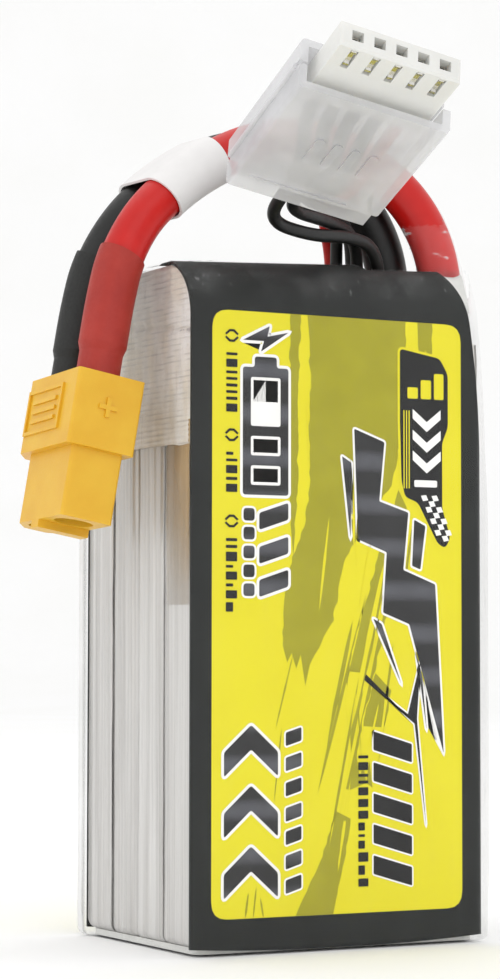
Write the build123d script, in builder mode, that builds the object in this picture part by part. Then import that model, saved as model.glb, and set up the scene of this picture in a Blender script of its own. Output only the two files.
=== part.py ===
from build123d import *
import os
from math import atan, cos, sin, tan

os.makedirs("parts", exist_ok=True)

# A four-cell lithium polymer pack, standing on its short end.
# +Z up, origin at the centre of the base, front label facing -Y. Millimetres.

# ---- pack ----
PACK_W = 39.2  # along X
PACK_D = 29.3  # along Y
PACK_H = 79.5  # along Z, at its right side
PACK_LEFT_H = 77.6  # the top slopes down to the left
TOP_EDGE_R = 7.0  # where the label folds over the top, front and back
TOP_CORNER_R = 1.0
BASE_EDGE_R = 0.9

FILM_T = 0.15  # layers, from the outside in
CARD_T = 0.35
TAPE_T = 0.15
LAYER_GAP = 0.02
CARD_INSET = FILM_T + LAYER_GAP
TAPE_INSET = CARD_INSET + CARD_T + LAYER_GAP
CORE_INSET = TAPE_INSET + TAPE_T + LAYER_GAP

CARD_LEFT = -19.4
CARD_RIGHT = 18.4
CARD_CURVE_Z = 54.0  # above this the label's right edge curves inwards
CARD_BASE_RISE = 0.7  # how much higher the label's base corners are than its middle
CARD_TOP_LAP = 8.5  # how far the label reaches over the top, from its face

# ---- cells ----
CELL_COUNT = 4
CELL_W = 37.5
PAD_T = 0.3
CELL_T = (PACK_D - 2 * CORE_INSET - (CELL_COUNT - 1) * PAD_T) / CELL_COUNT - LAYER_GAP
CELL_PITCH = CELL_T + PAD_T
CELL_BASE_Z = 0.9
CELL_TOP_Z = 69.4
CELL_EDGE_R = 2.3
SEAL_W = 34.0
SEAL_T = 0.5
SEAL_TOP_Z = 70.9

# ---- tab board and what covers it ----
BOARD_Z = 72.0
BOARD_T = 0.8
BOARD_W = 35.0
BOARD_D = 24.0
BOARD_TOP = BOARD_Z + BOARD_T
TAB_W = 6.0
TAB_T = 0.2
TAB_X = 10.5
JOINT_T = 0.6
JOINT_TOP = BOARD_TOP + JOINT_T
INSULATOR_T = 0.2
FOAM_Z = BOARD_TOP + 0.3
TAPE_Z = 56.6

# leads and wires leave the top through this notch
NOTCH_X = (5.0, PACK_W / 2 - FILM_T)
NOTCH_Y = (-11.2, 3.2)

# ---- cords ----
LEAD_D = 5.0
WIRE_D = 1.5
SHRINK_T = 0.22
SHRINK_FIT = 0.03
BEND_SHARE = 0.45  # of the shorter run that an arc takes up

# ---- main connector, in its own axes: Z from its mouth towards the leads ----
CONNECTOR = Plane(origin=(-30.2, -3.5, 47.5), x_dir=(-0.018, -0.999, 0.04), z_dir=(0.187, 0.036, 0.982))
NOSE_W = 14.4
NOSE_T = 6.2
NOSE_H = 7.9
BLOCK_W = 16.0
BLOCK_T = 8.1
BLOCK_TOP = 16.4
BEVEL_W = 2.6
BEVEL_T = 1.7
CONTACT_X = 3.6
HOLE_R = 2.2
CONTACT_R = 2.15
BORE_R = 1.75
MOUTH_Z = 0.9  # the contact's edge, inside the nose
BORE_END_Z = 12.0
CUP_TOP = 20.3
NECK_BORE_R = 2.2
NECK_R = 2.47

# ---- balance plug and its clip, in the clip's own axes: ----
# X across the five ways, Y from the lid to the base shell, Z towards the plug's mating face
CLIP = Plane(
    origin=(-10.44, -39.17, 92.61),
    x_dir=(0.9627, -0.1462, -0.2275),
    z_dir=(-0.0497, -0.9226, 0.3826),
)
PLUG_W = 13.7
PLUG_T = 3.15
PLUG_Y = 0.2
PLUG_TOP = 6.2
PLUG_BACK = -3.6
WAYS = 5
WAY_PITCH = 2.5
WAY_HOLE = 1.3
CLIP_LEFT = -8.75
LID_RIGHT = 8.77
BASE_RIGHT = 7.97
CLIP_T = 3.15  # each shell's depth from the parting plane
CLIP_L = 19.4
CLIP_WALL = 0.9
PARTING = 0.15  # each shell's face stands this far off the parting plane
HINGE_R = 0.35
WIRE_SLOT = (-1.9, 6.7)
WIRE_SLOT_DEPTH = 1.15


def clip_point(x, y, z):
    return CLIP.from_local_coords(Vector(x, y, z))


def connector_point(x, y, z):
    return CONNECTOR.from_local_coords(Vector(x, y, z))


# ---- cord routes: points chosen along each cord, from the pack to its far end ----
RED_ROUTE = [
    Vector(16.9, -8.6, JOINT_TOP),
    Vector(16.9, -8.6, 77.2),
    Vector(15.7, -8.4, 82.2),
    Vector(13.1, -7.9, 86.6),
    Vector(9.2, -7.2, 90.1),
    Vector(4.2, -6.6, 92.5),
    Vector(-1.6, -6.1, 93.4),
    Vector(-7.4, -5.9, 92.2),
    Vector(-12.9, -6.0, 89.5),
    Vector(-17.8, -6.2, 86.2),
    Vector(-21.9, -6.5, 82.2),
    Vector(-24.6, -6.6, 77.2),
    connector_point(CONTACT_X, 0, 25.0),
    connector_point(CONTACT_X, 0, CUP_TOP),
]
BLACK_ROUTE = [
    Vector(12.9, -3.2, JOINT_TOP),
    Vector(12.9, -3.2, 77.2),
    Vector(12.0, -3.0, 82.0),
    Vector(9.7, -2.5, 86.3),
    Vector(6.0, -1.8, 89.7),
    Vector(1.2, -1.1, 91.8),
    Vector(-3.9, -0.6, 92.6),
    Vector(-8.9, -0.4, 91.7),
    Vector(-13.5, -0.6, 89.4),
    Vector(-17.9, -0.8, 86.3),
    Vector(-21.9, -0.9, 82.3),
    Vector(-24.6, 0.0, 77.2),
    connector_point(-CONTACT_X, 0, 25.0),
    connector_point(-CONTACT_X, 0, CUP_TOP),
]
WIRE_ROUTES = [
    [
        clip_point(-5.0, 0.2, PLUG_BACK),
        clip_point(-4.5, 0.2, -8.2),
        clip_point(-1.9, 0.2, -14.2),
        clip_point(-0.8, 0.1, -20.5),
        Vector(-9.7, -13.8, 82.0),
        Vector(-3.0, -12.4, 80.9),
        Vector(3.3, -10.7, 81.5),
        Vector(7.3, -9.0, 80.8),
        Vector(9.1, -7.5, 77.3),
        Vector(9.1, -7.5, JOINT_TOP),
    ],
    [
        clip_point(-2.5, 0.2, PLUG_BACK),
        clip_point(-2.2, 0.2, -8.2),
        clip_point(0.0, 0.2, -14.2),
        clip_point(0.8, 0.1, -20.5),
        Vector(-7.6, -15.0, 83.2),
        Vector(0.4, -11.2, 82.9),
        Vector(5.6, -7.6, 82.1),
        Vector(7.2, -5.5, 77.9),
        Vector(7.2, -5.4, JOINT_TOP),
    ],
    [
        clip_point(0.0, 0.2, PLUG_BACK),
        clip_point(0.1, 0.2, -8.2),
        clip_point(1.8, 0.2, -14.2),
        clip_point(2.4, 0.1, -20.5),
        Vector(-5.6, -14.8, 84.7),
        Vector(1.0, -9.6, 84.8),
        Vector(6.4, -4.9, 83.4),
        Vector(7.9, -3.1, 78.4),
        Vector(7.9, -3.0, JOINT_TOP),
    ],
    [
        clip_point(2.5, 0.2, PLUG_BACK),
        clip_point(2.7, 0.2, -8.2),
        clip_point(3.7, 0.2, -14.2),
        clip_point(4.0, 0.1, -20.5),
        Vector(-3.7, -14.8, 86.1),
        Vector(1.6, -8.0, 86.75),
        Vector(6.0, -2.7, 84.5),
        Vector(7.0, -0.8, 79.2),
        Vector(7.0, -0.6, JOINT_TOP),
    ],
    [
        clip_point(5.0, 0.2, PLUG_BACK),
        clip_point(5.1, 0.2, -8.2),
        clip_point(5.5, 0.2, -14.2),
        clip_point(5.7, 0.1, -20.5),
        Vector(-1.8, -14.8, 87.5),
        Vector(2.2, -6.4, 88.6),
        Vector(5.5, -0.3, 85.3),
        Vector(7.9, 1.7, 80.2),
        Vector(7.9, 1.7, JOINT_TOP),
    ],
]


def cord_path(name, points, diameter):
    """Straight runs joined by arcs, each as large as its two runs allow."""
    runs = [b - a for a, b in zip(points, points[1:])]
    radii = []
    for before, after in zip(runs, runs[1:]):
        turn = before.get_angle(after) * 3.141592653589793 / 180
        radii.append(BEND_SHARE * min(before.length, after.length) / tan(turn / 2))
    with BuildLine() as line:
        FilletPolyline(*points, radius=radii)
    path = line.wire()
    tightest = min(radii)
    print(f"{name}: length {path.length:.1f}, tightest bend {tightest:.1f} = {tightest / diameter:.1f} diameters")
    print("   radii", [round(r, 1) for r in radii])
    return path


def tube(path, radius, bore=0.0):
    start = Plane(origin=path @ 0, z_dir=path % 0)
    with BuildPart() as cord:
        with BuildSketch(start):
            Circle(radius)
            if bore:
                Circle(bore, mode=Mode.SUBTRACT)
        sweep(path=path)
    return cord.part


TOP_SLOPE = atan((PACK_H - PACK_LEFT_H) / PACK_W)


def top_height(x, inset=0.0):
    """The height of the sloping top at x, moved in by inset."""
    return PACK_H - (PACK_W / 2 - x) * tan(TOP_SLOPE) - inset / cos(TOP_SLOPE)


def pack_form(inset):
    """The wrapped pack's outer shape, every face moved in by inset."""
    half_w = PACK_W / 2 - inset
    half_d = PACK_D / 2 - inset
    along_top = Plane(origin=(0, 0, 0), x_dir=(0, 1, 0), z_dir=(cos(TOP_SLOPE), 0, sin(TOP_SLOPE)))
    crest = top_height(0, inset) * cos(TOP_SLOPE)
    with BuildPart() as form:
        with BuildSketch(along_top) as end_profile:
            with Locations((0, crest / 2)):
                Rectangle(2 * half_d, crest + PACK_H)
            with Locations((0, crest + PACK_H / 2)):
                Rectangle(PACK_W, PACK_H, mode=Mode.SUBTRACT)
            fillet(end_profile.vertices().group_by(Axis.Y)[-1], radius=TOP_EDGE_R - inset)
        extrude(amount=PACK_W, both=True)
        with BuildSketch(Plane.XZ) as face_profile:
            with BuildLine():
                Polyline(
                    (-half_w, inset),
                    (half_w, inset),
                    (half_w, top_height(half_w, inset)),
                    (-half_w, top_height(-half_w, inset)),
                    (-half_w, inset),
                )
            make_face()
            corners = face_profile.vertices().sort_by(Axis.Y)
            fillet(corners[-2:], radius=TOP_CORNER_R - inset)
            corners = face_profile.vertices().sort_by(Axis.Y)
            fillet(corners[:2], radius=BASE_EDGE_R - inset)
        extrude(amount=PACK_D, both=True, mode=Mode.INTERSECT)
        with BuildSketch(Plane.YZ) as side_profile:
            with Locations((0, inset + PACK_H)):
                Rectangle(2 * half_d, 2 * PACK_H)
            fillet(side_profile.vertices().group_by(Axis.Y)[0], radius=BASE_EDGE_R - inset)
        extrude(amount=PACK_W, both=True, mode=Mode.INTERSECT)
    return form.part


def finish(part, label):
    part.label = label
    export_step(part, f"parts/{label}.step")


# ---- cells, their pads and their tabs ----
FIRST_CELL_Y = -(CELL_COUNT - 1) * CELL_PITCH / 2

for number in range(CELL_COUNT):
    cell_y = FIRST_CELL_Y + number * CELL_PITCH
    with BuildPart() as cell:
        with BuildSketch(Plane.XY.offset(CELL_BASE_Z)):
            with Locations((0, cell_y)):
                RectangleRounded(CELL_W, CELL_T, CELL_EDGE_R)
        extrude(amount=CELL_TOP_Z - CELL_BASE_Z)
        fillet(cell.faces().sort_by(Axis.Z)[0].edges(), radius=1.2)
        fillet(cell.faces().sort_by(Axis.Z)[-1].edges(), radius=1.2)
        with BuildSketch(Plane.XY.offset(CELL_TOP_Z)):
            with Locations((0, cell_y)):
                Rectangle(SEAL_W, SEAL_T)
        extrude(amount=SEAL_TOP_Z - CELL_TOP_Z)
    finish(cell.part, f"cell_{number + 1}")

for number in range(CELL_COUNT - 1):
    pad_y = FIRST_CELL_Y + (number + 0.5) * CELL_PITCH
    with BuildPart() as pad:
        with BuildSketch(Plane.XY.offset(8.0)):
            with Locations((0, pad_y)):
                Rectangle(26.0, PAD_T - LAYER_GAP)
        extrude(amount=52.0)
    finish(pad.part, f"cell_pad_{number + 1}")

for label, first_side in (("aluminium_tabs", 1), ("nickel_tabs", -1)):
    with BuildPart() as tabs:
        with BuildSketch(Plane.XY.offset(SEAL_TOP_Z)):
            for number in range(CELL_COUNT):
                side = first_side if number % 2 == 0 else -first_side
                with Locations((side * TAB_X, FIRST_CELL_Y + number * CELL_PITCH)):
                    Rectangle(TAB_W, TAB_T)
        extrude(amount=BOARD_Z - SEAL_TOP_Z)
    finish(tabs.part, label)

with BuildPart() as tab_board:
    with BuildSketch(Plane.XY.offset(BOARD_Z)):
        RectangleRounded(BOARD_W, BOARD_D, 1.0)
    extrude(amount=BOARD_T)
finish(tab_board.part, "tab_board")

with BuildPart() as solder_joints:
    with BuildSketch(Plane.XY.offset(BOARD_TOP)):
        for route in (RED_ROUTE, BLACK_ROUTE):
            with Locations((min(route[0].X, BOARD_W / 2 - 2.6), route[0].Y)):
                Circle(LEAD_D / 2 + 0.05)
        for route in WIRE_ROUTES:
            with Locations((route[-1].X, route[-1].Y)):
                Circle(WIRE_D / 2 + 0.08)
    extrude(amount=JOINT_T)
finish(solder_joints.part, "solder_joints")

with BuildPart() as board_insulator:
    with BuildSketch(Plane.XY.offset(BOARD_TOP + 0.05)):
        with Locations((-6.5, 0)):
            RectangleRounded(20.0, BOARD_D - 1, 1.0)
    extrude(amount=INSULATOR_T)
finish(board_insulator.part, "board_insulator")

# ---- foam caps, tape, labels and film ----
CORE_FORM = pack_form(CORE_INSET)
TAPE_FORM = pack_form(TAPE_INSET)
CARD_INNER_FORM = pack_form(CARD_INSET + CARD_T)
CARD_FORM = pack_form(CARD_INSET)
FILM_INNER_FORM = pack_form(FILM_T)
FILM_FORM = pack_form(0)


def notch_above(floor_z):
    """The space that the leads and wires pass through, from floor_z up."""
    with BuildPart() as notch:
        with BuildSketch(Plane.XY.offset(floor_z)):
            with Locations((sum(NOTCH_X) / 2, sum(NOTCH_Y) / 2)):
                Rectangle(NOTCH_X[1] - NOTCH_X[0], NOTCH_Y[1] - NOTCH_Y[0])
        extrude(amount=PACK_H)
    return notch.part


def slab_above(z):
    with BuildPart() as slab:
        with BuildSketch(Plane.XY.offset(z)):
            Rectangle(2 * PACK_W, 2 * PACK_D)
        extrude(amount=PACK_H)
    return slab.part


foam_notch = notch_above(FOAM_Z - 1)
tape_notch = notch_above(CELL_TOP_Z)
card_notch = notch_above(PACK_LEFT_H - TOP_EDGE_R)
film_notch = notch_above(PACK_H - TOP_EDGE_R)
with BuildPart() as card_floor:
    with BuildSketch(Plane.XY):
        Rectangle(PACK_W, PACK_D - 2 * (CARD_INSET + CARD_T))
    extrude(amount=PACK_LEFT_H - TOP_EDGE_R)
foam_region = slab_above(FOAM_Z)
tape_region = slab_above(TAPE_Z)
tape_inside = pack_form(TAPE_INSET + TAPE_T)


with BuildPart() as top_foam:
    add(CORE_FORM)
    add(foam_region, mode=Mode.INTERSECT)
    add(foam_notch, mode=Mode.SUBTRACT)
finish(top_foam.part, "top_foam")

with BuildPart() as bottom_pad:
    with BuildSketch(Plane.XY.offset(CARD_INSET)):
        RectangleRounded(36.4, 27.0, 1.5)
    extrude(amount=CELL_BASE_Z - CARD_INSET - LAYER_GAP)
finish(bottom_pad.part, "bottom_pad")

with BuildPart() as strapping_tape:
    add(TAPE_FORM)
    add(tape_inside, mode=Mode.SUBTRACT)
    add(tape_region, mode=Mode.INTERSECT)
    add(tape_notch, mode=Mode.SUBTRACT)
finish(strapping_tape.part, "strapping_tape")

with BuildPart() as kapton_strip:
    with BuildSketch(Plane.YZ.offset(-CELL_W / 2 - 0.02)):
        with Locations((-10.4, 48.5)):
            Rectangle(5.4, 19.0)
    extrude(amount=-0.1)
finish(kapton_strip.part, "kapton_strip")

# each label is open at the edge that is on its own left, so the back one is mirrored
down_slope = Vector(-cos(TOP_SLOPE), 0, -sin(TOP_SLOPE))

for label, side in (("front_label", -1), ("back_label", 1)):
    with BuildPart() as card:
        add(CARD_FORM)
        add(CARD_INNER_FORM, mode=Mode.SUBTRACT)
        add(CARD_INNER_FORM.moved(Location(-side * down_slope)), mode=Mode.SUBTRACT)
        add(card_floor.part, mode=Mode.SUBTRACT)
        with BuildSketch(Plane.XZ) as outline:
            with BuildLine():
                base = ThreePointArc(
                    (-side * CARD_LEFT, CARD_INSET + CARD_BASE_RISE),
                    (0, CARD_INSET + 0.05),
                    (-side * CARD_RIGHT, CARD_INSET + CARD_BASE_RISE),
                )
                straight = Line(base @ 1, (-side * CARD_RIGHT, CARD_CURVE_Z))
                lower_curve = ThreePointArc(straight @ 1, (-side * 18.05, 64.0), (-side * 17.2, 71.1))
                upper_curve = ThreePointArc(lower_curve @ 1, (-side * 15.9, 75.7), (-side * 13.0, PACK_H + 1))
                Polyline(upper_curve @ 1, (-side * CARD_LEFT, PACK_H + 1), base @ 0)
            make_face()
        extrude(amount=PACK_D, both=True, mode=Mode.INTERSECT)
        with BuildSketch(Plane.XY):
            with Locations((0, side * (PACK_D / 2 - CARD_TOP_LAP / 2))):
                Rectangle(PACK_W, CARD_TOP_LAP)
        extrude(amount=PACK_H, mode=Mode.INTERSECT)
        add(card_notch, mode=Mode.SUBTRACT)
    finish(card.part, label)

with BuildPart() as shrink_wrap:
    add(FILM_FORM)
    add(FILM_INNER_FORM, mode=Mode.SUBTRACT)
    add(film_notch, mode=Mode.SUBTRACT)
finish(shrink_wrap.part, "shrink_wrap")

# ---- main leads ----
red_path = cord_path("red_lead", RED_ROUTE, LEAD_D)
black_path = cord_path("black_lead", BLACK_ROUTE, LEAD_D)
for label, path in (("red_lead", red_path), ("black_lead", black_path)):
    lead = tube(path, LEAD_D / 2)
    section = 3.141592653589793 * LEAD_D**2 / 4
    print(label, "volume", round(lead.volume, 1), "section x length", round(section * path.length, 1))
    finish(lead, label)


def shrink_tube(route, label):
    """Heat-shrink over a lead's end and, necked down, over its contact's solder cup."""
    lower = cord_path(label, route[-4:], LEAD_D)
    bore = LEAD_D / 2 + SHRINK_FIT
    top_cut = Plane(origin=route[-3], z_dir=route[-4] - route[-3])
    swept = tube(lower, bore + SHRINK_T, bore)
    with BuildPart() as shrink:
        add(split(swept, bisect_by=top_cut.offset(0.8), keep=Keep.BOTTOM))
        cup = Plane(origin=route[-1], x_dir=CONNECTOR.x_dir, z_dir=CONNECTOR.z_dir)
        with BuildSketch(Plane(origin=cup.origin, x_dir=cup.x_dir, z_dir=-cup.y_dir)):
            drop = BLOCK_TOP - CUP_TOP + 0.02
            with BuildLine():
                Polyline(
                    (bore, 0),
                    (bore + SHRINK_T, 0),
                    (NECK_R, -0.9),
                    (NECK_R, drop),
                    (NECK_BORE_R, drop),
                    (NECK_BORE_R, -0.02),
                    (bore, 0),
                )
            make_face()
        revolve(axis=Axis(cup.origin, cup.z_dir))
    finish(shrink.part, label)


shrink_tube(RED_ROUTE, "red_heat_shrink")
shrink_tube(BLACK_ROUTE, "black_heat_shrink")

# ---- white sleeve that holds the two leads side by side ----
SLEEVE_FIT = 0.14
SLEEVE_T = 0.3
sleeve_route = [(red + black) / 2 for red, black in zip(RED_ROUTE[7:11], BLACK_ROUTE[7:11])]
lead_gap = (RED_ROUTE[9] - BLACK_ROUTE[9]).length
sleeve_path = cord_path("lead_sleeve", sleeve_route, LEAD_D)
sleeve_start = Plane(
    origin=sleeve_path @ 0,
    x_dir=RED_ROUTE[7] - BLACK_ROUTE[7],
    z_dir=sleeve_path % 0,
)
with BuildPart() as whole_sleeve:
    with BuildSketch(sleeve_start):
        SlotCenterToCenter(lead_gap, LEAD_D + 2 * (SLEEVE_FIT + SLEEVE_T))
        SlotCenterToCenter(lead_gap, LEAD_D + 2 * SLEEVE_FIT, mode=Mode.SUBTRACT)
    sweep(path=sleeve_path)
upper_end = Plane(origin=sleeve_path @ 0.27, z_dir=sleeve_path % 0.27)
lower_end = Plane(origin=sleeve_path @ 0.78, z_dir=sleeve_path % 0.78)
sleeve = split(whole_sleeve.part, bisect_by=upper_end, keep=Keep.TOP)
sleeve = split(sleeve, bisect_by=lower_end, keep=Keep.BOTTOM)
finish(sleeve, "lead_sleeve")

# ---- main connector ----


def bevelled_block(width, thickness, low, high):
    """A block with both long corners of its negative end cut off."""
    half_w = width / 2
    half_t = thickness / 2
    with BuildPart() as block:
        with BuildSketch(CONNECTOR.offset(low)):
            with BuildLine():
                Polyline(
                    (half_w, -half_t),
                    (half_w, half_t),
                    (BEVEL_W - half_w, half_t),
                    (-half_w, half_t - BEVEL_T),
                    (-half_w, BEVEL_T - half_t),
                    (BEVEL_W - half_w, -half_t),
                    (half_w, -half_t),
                )
            make_face()
        extrude(amount=high - low)
        along = CONNECTOR.z_dir
        upright = block.edges().filter_by(lambda e: abs(e.tangent_at(0.5).dot(along)) > 0.999)
        fillet(upright, radius=0.4)
    return block.part


MARK_T = 0.25
nose = bevelled_block(NOSE_W, NOSE_T, 0, NOSE_H)
block = bevelled_block(BLOCK_W, BLOCK_T, NOSE_H, BLOCK_TOP)
with BuildPart() as connector_housing:
    add(nose)
    add(block)
    with BuildSketch(CONNECTOR.offset(-0.9)):
        Rectangle(2.0, NOSE_T)
    extrude(amount=0.9)
    with BuildSketch(CONNECTOR.offset(-1.0)):
        with Locations((CONTACT_X, 0), (-CONTACT_X, 0)):
            Circle(HOLE_R)
    extrude(amount=BLOCK_TOP + 2, mode=Mode.SUBTRACT)
    plus_face = Plane(
        origin=connector_point(BLOCK_W / 2, 0, 12.6),
        x_dir=CONNECTOR.y_dir,
        z_dir=CONNECTOR.x_dir,
    )
    with BuildSketch(plus_face):
        Rectangle(2.2, 0.5)
        Rectangle(0.5, 2.2)
    extrude(amount=MARK_T)
    minus_face = Plane(
        origin=connector_point(-BLOCK_W / 2, 0, 12.6),
        x_dir=CONNECTOR.y_dir,
        z_dir=-CONNECTOR.x_dir,
    )
    with BuildSketch(minus_face):
        Rectangle(2.2, 0.5)
    extrude(amount=MARK_T)
    for facing in (-1, 1):
        panel = Plane(
            origin=connector_point(-0.3, facing * BLOCK_T / 2, 12.4),
            x_dir=CONNECTOR.x_dir,
            z_dir=facing * CONNECTOR.y_dir,
        )
        with BuildSketch(panel):
            Rectangle(9.6, 5.2)
            Rectangle(8.8, 4.4, mode=Mode.SUBTRACT)
            with GridLocations(0, 1.1, 1, 3):
                Rectangle(6.4, 0.45)
        extrude(amount=MARK_T)
finish(connector_housing.part, "connector_housing")

for label, side in (("positive_contact", 1), ("negative_contact", -1)):
    axis_plane = Plane(
        origin=connector_point(side * CONTACT_X, 0, 0),
        x_dir=CONNECTOR.x_dir,
        z_dir=-CONNECTOR.y_dir,
    )
    with BuildPart() as contact:
        with BuildSketch(axis_plane):
            with BuildLine():
                Polyline(
                    (BORE_R, MOUTH_Z),
                    (CONTACT_R, MOUTH_Z),
                    (CONTACT_R, CUP_TOP),
                    (0, CUP_TOP),
                    (0, BORE_END_Z),
                    (BORE_R, BORE_END_Z),
                    (BORE_R, MOUTH_Z),
                )
            make_face()
        revolve(axis=Axis(axis_plane.origin, CONNECTOR.z_dir))
    finish(contact.part, label)

# ---- balance wires ----
for number, route in enumerate(WIRE_ROUTES, start=1):
    label = f"balance_wire_{number}"
    path = cord_path(label, route, WIRE_D)
    wire = tube(path, WIRE_D / 2)
    section = 3.141592653589793 * WIRE_D**2 / 4
    print(label, "volume", round(wire.volume, 1), "section x length", round(section * path.length, 1))
    finish(wire, label)

# ---- balance plug ----
PLUG_LENGTH = PLUG_TOP - PLUG_BACK
PLUG_FRONT = Plane(
    origin=clip_point(0, PLUG_Y - PLUG_T / 2, 0),
    x_dir=CLIP.x_dir,
    z_dir=-CLIP.y_dir,
)
with BuildPart() as balance_plug:
    with BuildSketch(CLIP.offset(PLUG_BACK)):
        with Locations((0, PLUG_Y)):
            Rectangle(PLUG_W, PLUG_T)
    extrude(amount=PLUG_LENGTH)
    chamfer(balance_plug.faces().sort_by(Axis(CLIP.origin, CLIP.z_dir))[-1].edges(), length=0.25)
    with BuildSketch(CLIP.offset(PLUG_BACK - 1)):
        with Locations((0, PLUG_Y)):
            with GridLocations(WAY_PITCH, 0, WAYS, 1):
                Rectangle(WAY_HOLE, WAY_HOLE)
    extrude(amount=PLUG_LENGTH + 2, mode=Mode.SUBTRACT)
    with BuildSketch(PLUG_FRONT):
        with Locations((0, PLUG_TOP - 2.0)):
            with GridLocations(WAY_PITCH, 0, WAYS, 1):
                Rectangle(0.85, 3.0)
    extrude(amount=-PLUG_T / 2, mode=Mode.SUBTRACT)
finish(balance_plug.part, "balance_plug")

CONTACT_BACK = PLUG_BACK + 0.12
with BuildPart() as balance_contacts:
    with BuildSketch(CLIP.offset(CONTACT_BACK)):
        with Locations((0, PLUG_Y)):
            with GridLocations(WAY_PITCH, 0, WAYS, 1):
                Rectangle(1.16, 1.16)
                Rectangle(0.7, 0.7, mode=Mode.SUBTRACT)
    extrude(amount=PLUG_TOP - 1.0 - CONTACT_BACK)
finish(balance_contacts.part, "balance_contacts")

# ---- clip: two shells joined along their left edges by a bead that acts as the hinge ----
HINGE_AXIS_Z = (-CLIP_L + 1.0, -1.0)


def hinge_rod(radius, low, high):
    with BuildPart() as rod:
        with BuildSketch(CLIP.offset(low)):
            with Locations((CLIP_LEFT, 0)):
                Circle(radius)
        extrude(amount=high - low)
    return rod.part


def tray(right, low, high, inner_low, inner_high):
    """A shell open at its plug end and on its parting face, from low to high along CLIP's Y."""
    inner_left = CLIP_LEFT + CLIP_WALL
    inner_right = right - CLIP_WALL
    with BuildPart() as shell:
        with BuildSketch(CLIP.offset(-CLIP_L)):
            with Locations(((right + CLIP_LEFT) / 2, (low + high) / 2)):
                Rectangle(right - CLIP_LEFT, high - low)
        extrude(amount=CLIP_L)
        long_edges = shell.edges().filter_by(lambda e: abs(e.tangent_at(0.5).dot(CLIP.z_dir)) > 0.999)
        by_depth = long_edges.sort_by(Axis(CLIP.origin, CLIP.y_dir))
        fillet(by_depth[-2:] if high == CLIP_T else by_depth[:2], radius=0.6)
        with BuildSketch(CLIP.offset(-CLIP_L + CLIP_WALL)):
            with Locations(((inner_right + inner_left) / 2, (inner_low + inner_high) / 2)):
                Rectangle(inner_right - inner_left, inner_high - inner_low)
        extrude(amount=CLIP_L, mode=Mode.SUBTRACT)
    return shell.part


def wire_slot(toward):
    """The gap in a shell's end wall that the wires leave by."""
    with BuildPart() as slot:
        with BuildSketch(CLIP.offset(-CLIP_L - 1)):
            with Locations((sum(WIRE_SLOT) / 2, toward * WIRE_SLOT_DEPTH / 2)):
                Rectangle(WIRE_SLOT[1] - WIRE_SLOT[0], WIRE_SLOT_DEPTH)
        extrude(amount=CLIP_WALL + 2)
    return slot.part


hinge_groove = hinge_rod(HINGE_R + 0.05, -CLIP_L - 1, 1)
base_tray = tray(BASE_RIGHT, PARTING, CLIP_T, -1, CLIP_T - CLIP_WALL)
base_slot = wire_slot(1)
with BuildPart() as clip_base:
    add(base_tray)
    add(base_slot, mode=Mode.SUBTRACT)
    add(hinge_groove, mode=Mode.SUBTRACT)
finish(clip_base.part, "clip_base")

LID_FACE = Plane(origin=clip_point(0, -CLIP_T, 0), x_dir=CLIP.x_dir, z_dir=-CLIP.y_dir)
lid_tray = tray(LID_RIGHT, -CLIP_T, -PARTING, CLIP_WALL - CLIP_T, 1)
lid_slot = wire_slot(-1)
with BuildPart() as clip_lid:
    add(lid_tray)
    add(lid_slot, mode=Mode.SUBTRACT)
    add(hinge_groove, mode=Mode.SUBTRACT)
    with BuildSketch(LID_FACE):
        with Locations((LID_RIGHT, -CLIP_L)):
            Rectangle(1.9, 4.4)
    extrude(amount=-2 * CLIP_T, mode=Mode.SUBTRACT)
    with BuildSketch(LID_FACE):
        with Locations((0.4, -9.4)):
            with GridLocations(2.1, 0, 4, 1):
                SlotOverall(4.4, 1.0, rotation=90)
        with Locations((-1.2, -16.9)):
            SlotOverall(11.6, 0.5)
    extrude(amount=0.2)
finish(clip_lid.part, "clip_lid")

clip_hinge = hinge_rod(HINGE_R, 1.0 - CLIP_L, -1.0)
finish(clip_hinge, "clip_hinge")
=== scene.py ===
import math
import random

import bmesh
import bpy
from mathutils import Matrix, Vector, noise


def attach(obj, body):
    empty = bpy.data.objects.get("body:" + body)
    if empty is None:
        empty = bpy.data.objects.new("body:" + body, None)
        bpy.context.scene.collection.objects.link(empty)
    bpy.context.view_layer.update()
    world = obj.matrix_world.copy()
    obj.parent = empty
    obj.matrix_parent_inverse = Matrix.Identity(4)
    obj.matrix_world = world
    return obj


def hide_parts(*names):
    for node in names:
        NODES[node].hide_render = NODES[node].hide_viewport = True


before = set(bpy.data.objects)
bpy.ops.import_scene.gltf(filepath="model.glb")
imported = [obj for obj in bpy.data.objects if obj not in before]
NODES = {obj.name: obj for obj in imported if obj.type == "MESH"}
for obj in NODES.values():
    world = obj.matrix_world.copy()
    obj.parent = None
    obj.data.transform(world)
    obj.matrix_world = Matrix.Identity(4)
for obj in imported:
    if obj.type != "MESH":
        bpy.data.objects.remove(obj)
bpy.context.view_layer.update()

MM = 0.001
PACK = "pack"

# ---- sizes, in millimetres, as the CAD has them
PACK_W = 39.2
PACK_D = 29.3
PACK_H = 79.5  # at its right side, the top sloping down to the left
PACK_LEFT_H = 77.6
JOINT_TOP = 73.4  # where the leads and wires leave their solder joints
LEAD_D = 5.0
WIRE_D = 1.5

CONNECTOR_AT = Vector((-30.2, -3.5, 47.5))
CONNECTOR_X = Vector((-0.018, -0.999, 0.04)).normalized()
CONNECTOR_Z = Vector((0.187, 0.036, 0.982)).normalized()
CLIP_AT = Vector((-10.44, -39.17, 92.61))
CLIP_X = Vector((0.9627, -0.1462, -0.2275)).normalized()
CLIP_Z = Vector((-0.0497, -0.9226, 0.3826)).normalized()


def placer(origin, x_dir, z_dir):
    y_dir = z_dir.cross(x_dir).normalized()
    return lambda x, y, z: origin + x * x_dir + y * y_dir + z * z_dir


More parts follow.
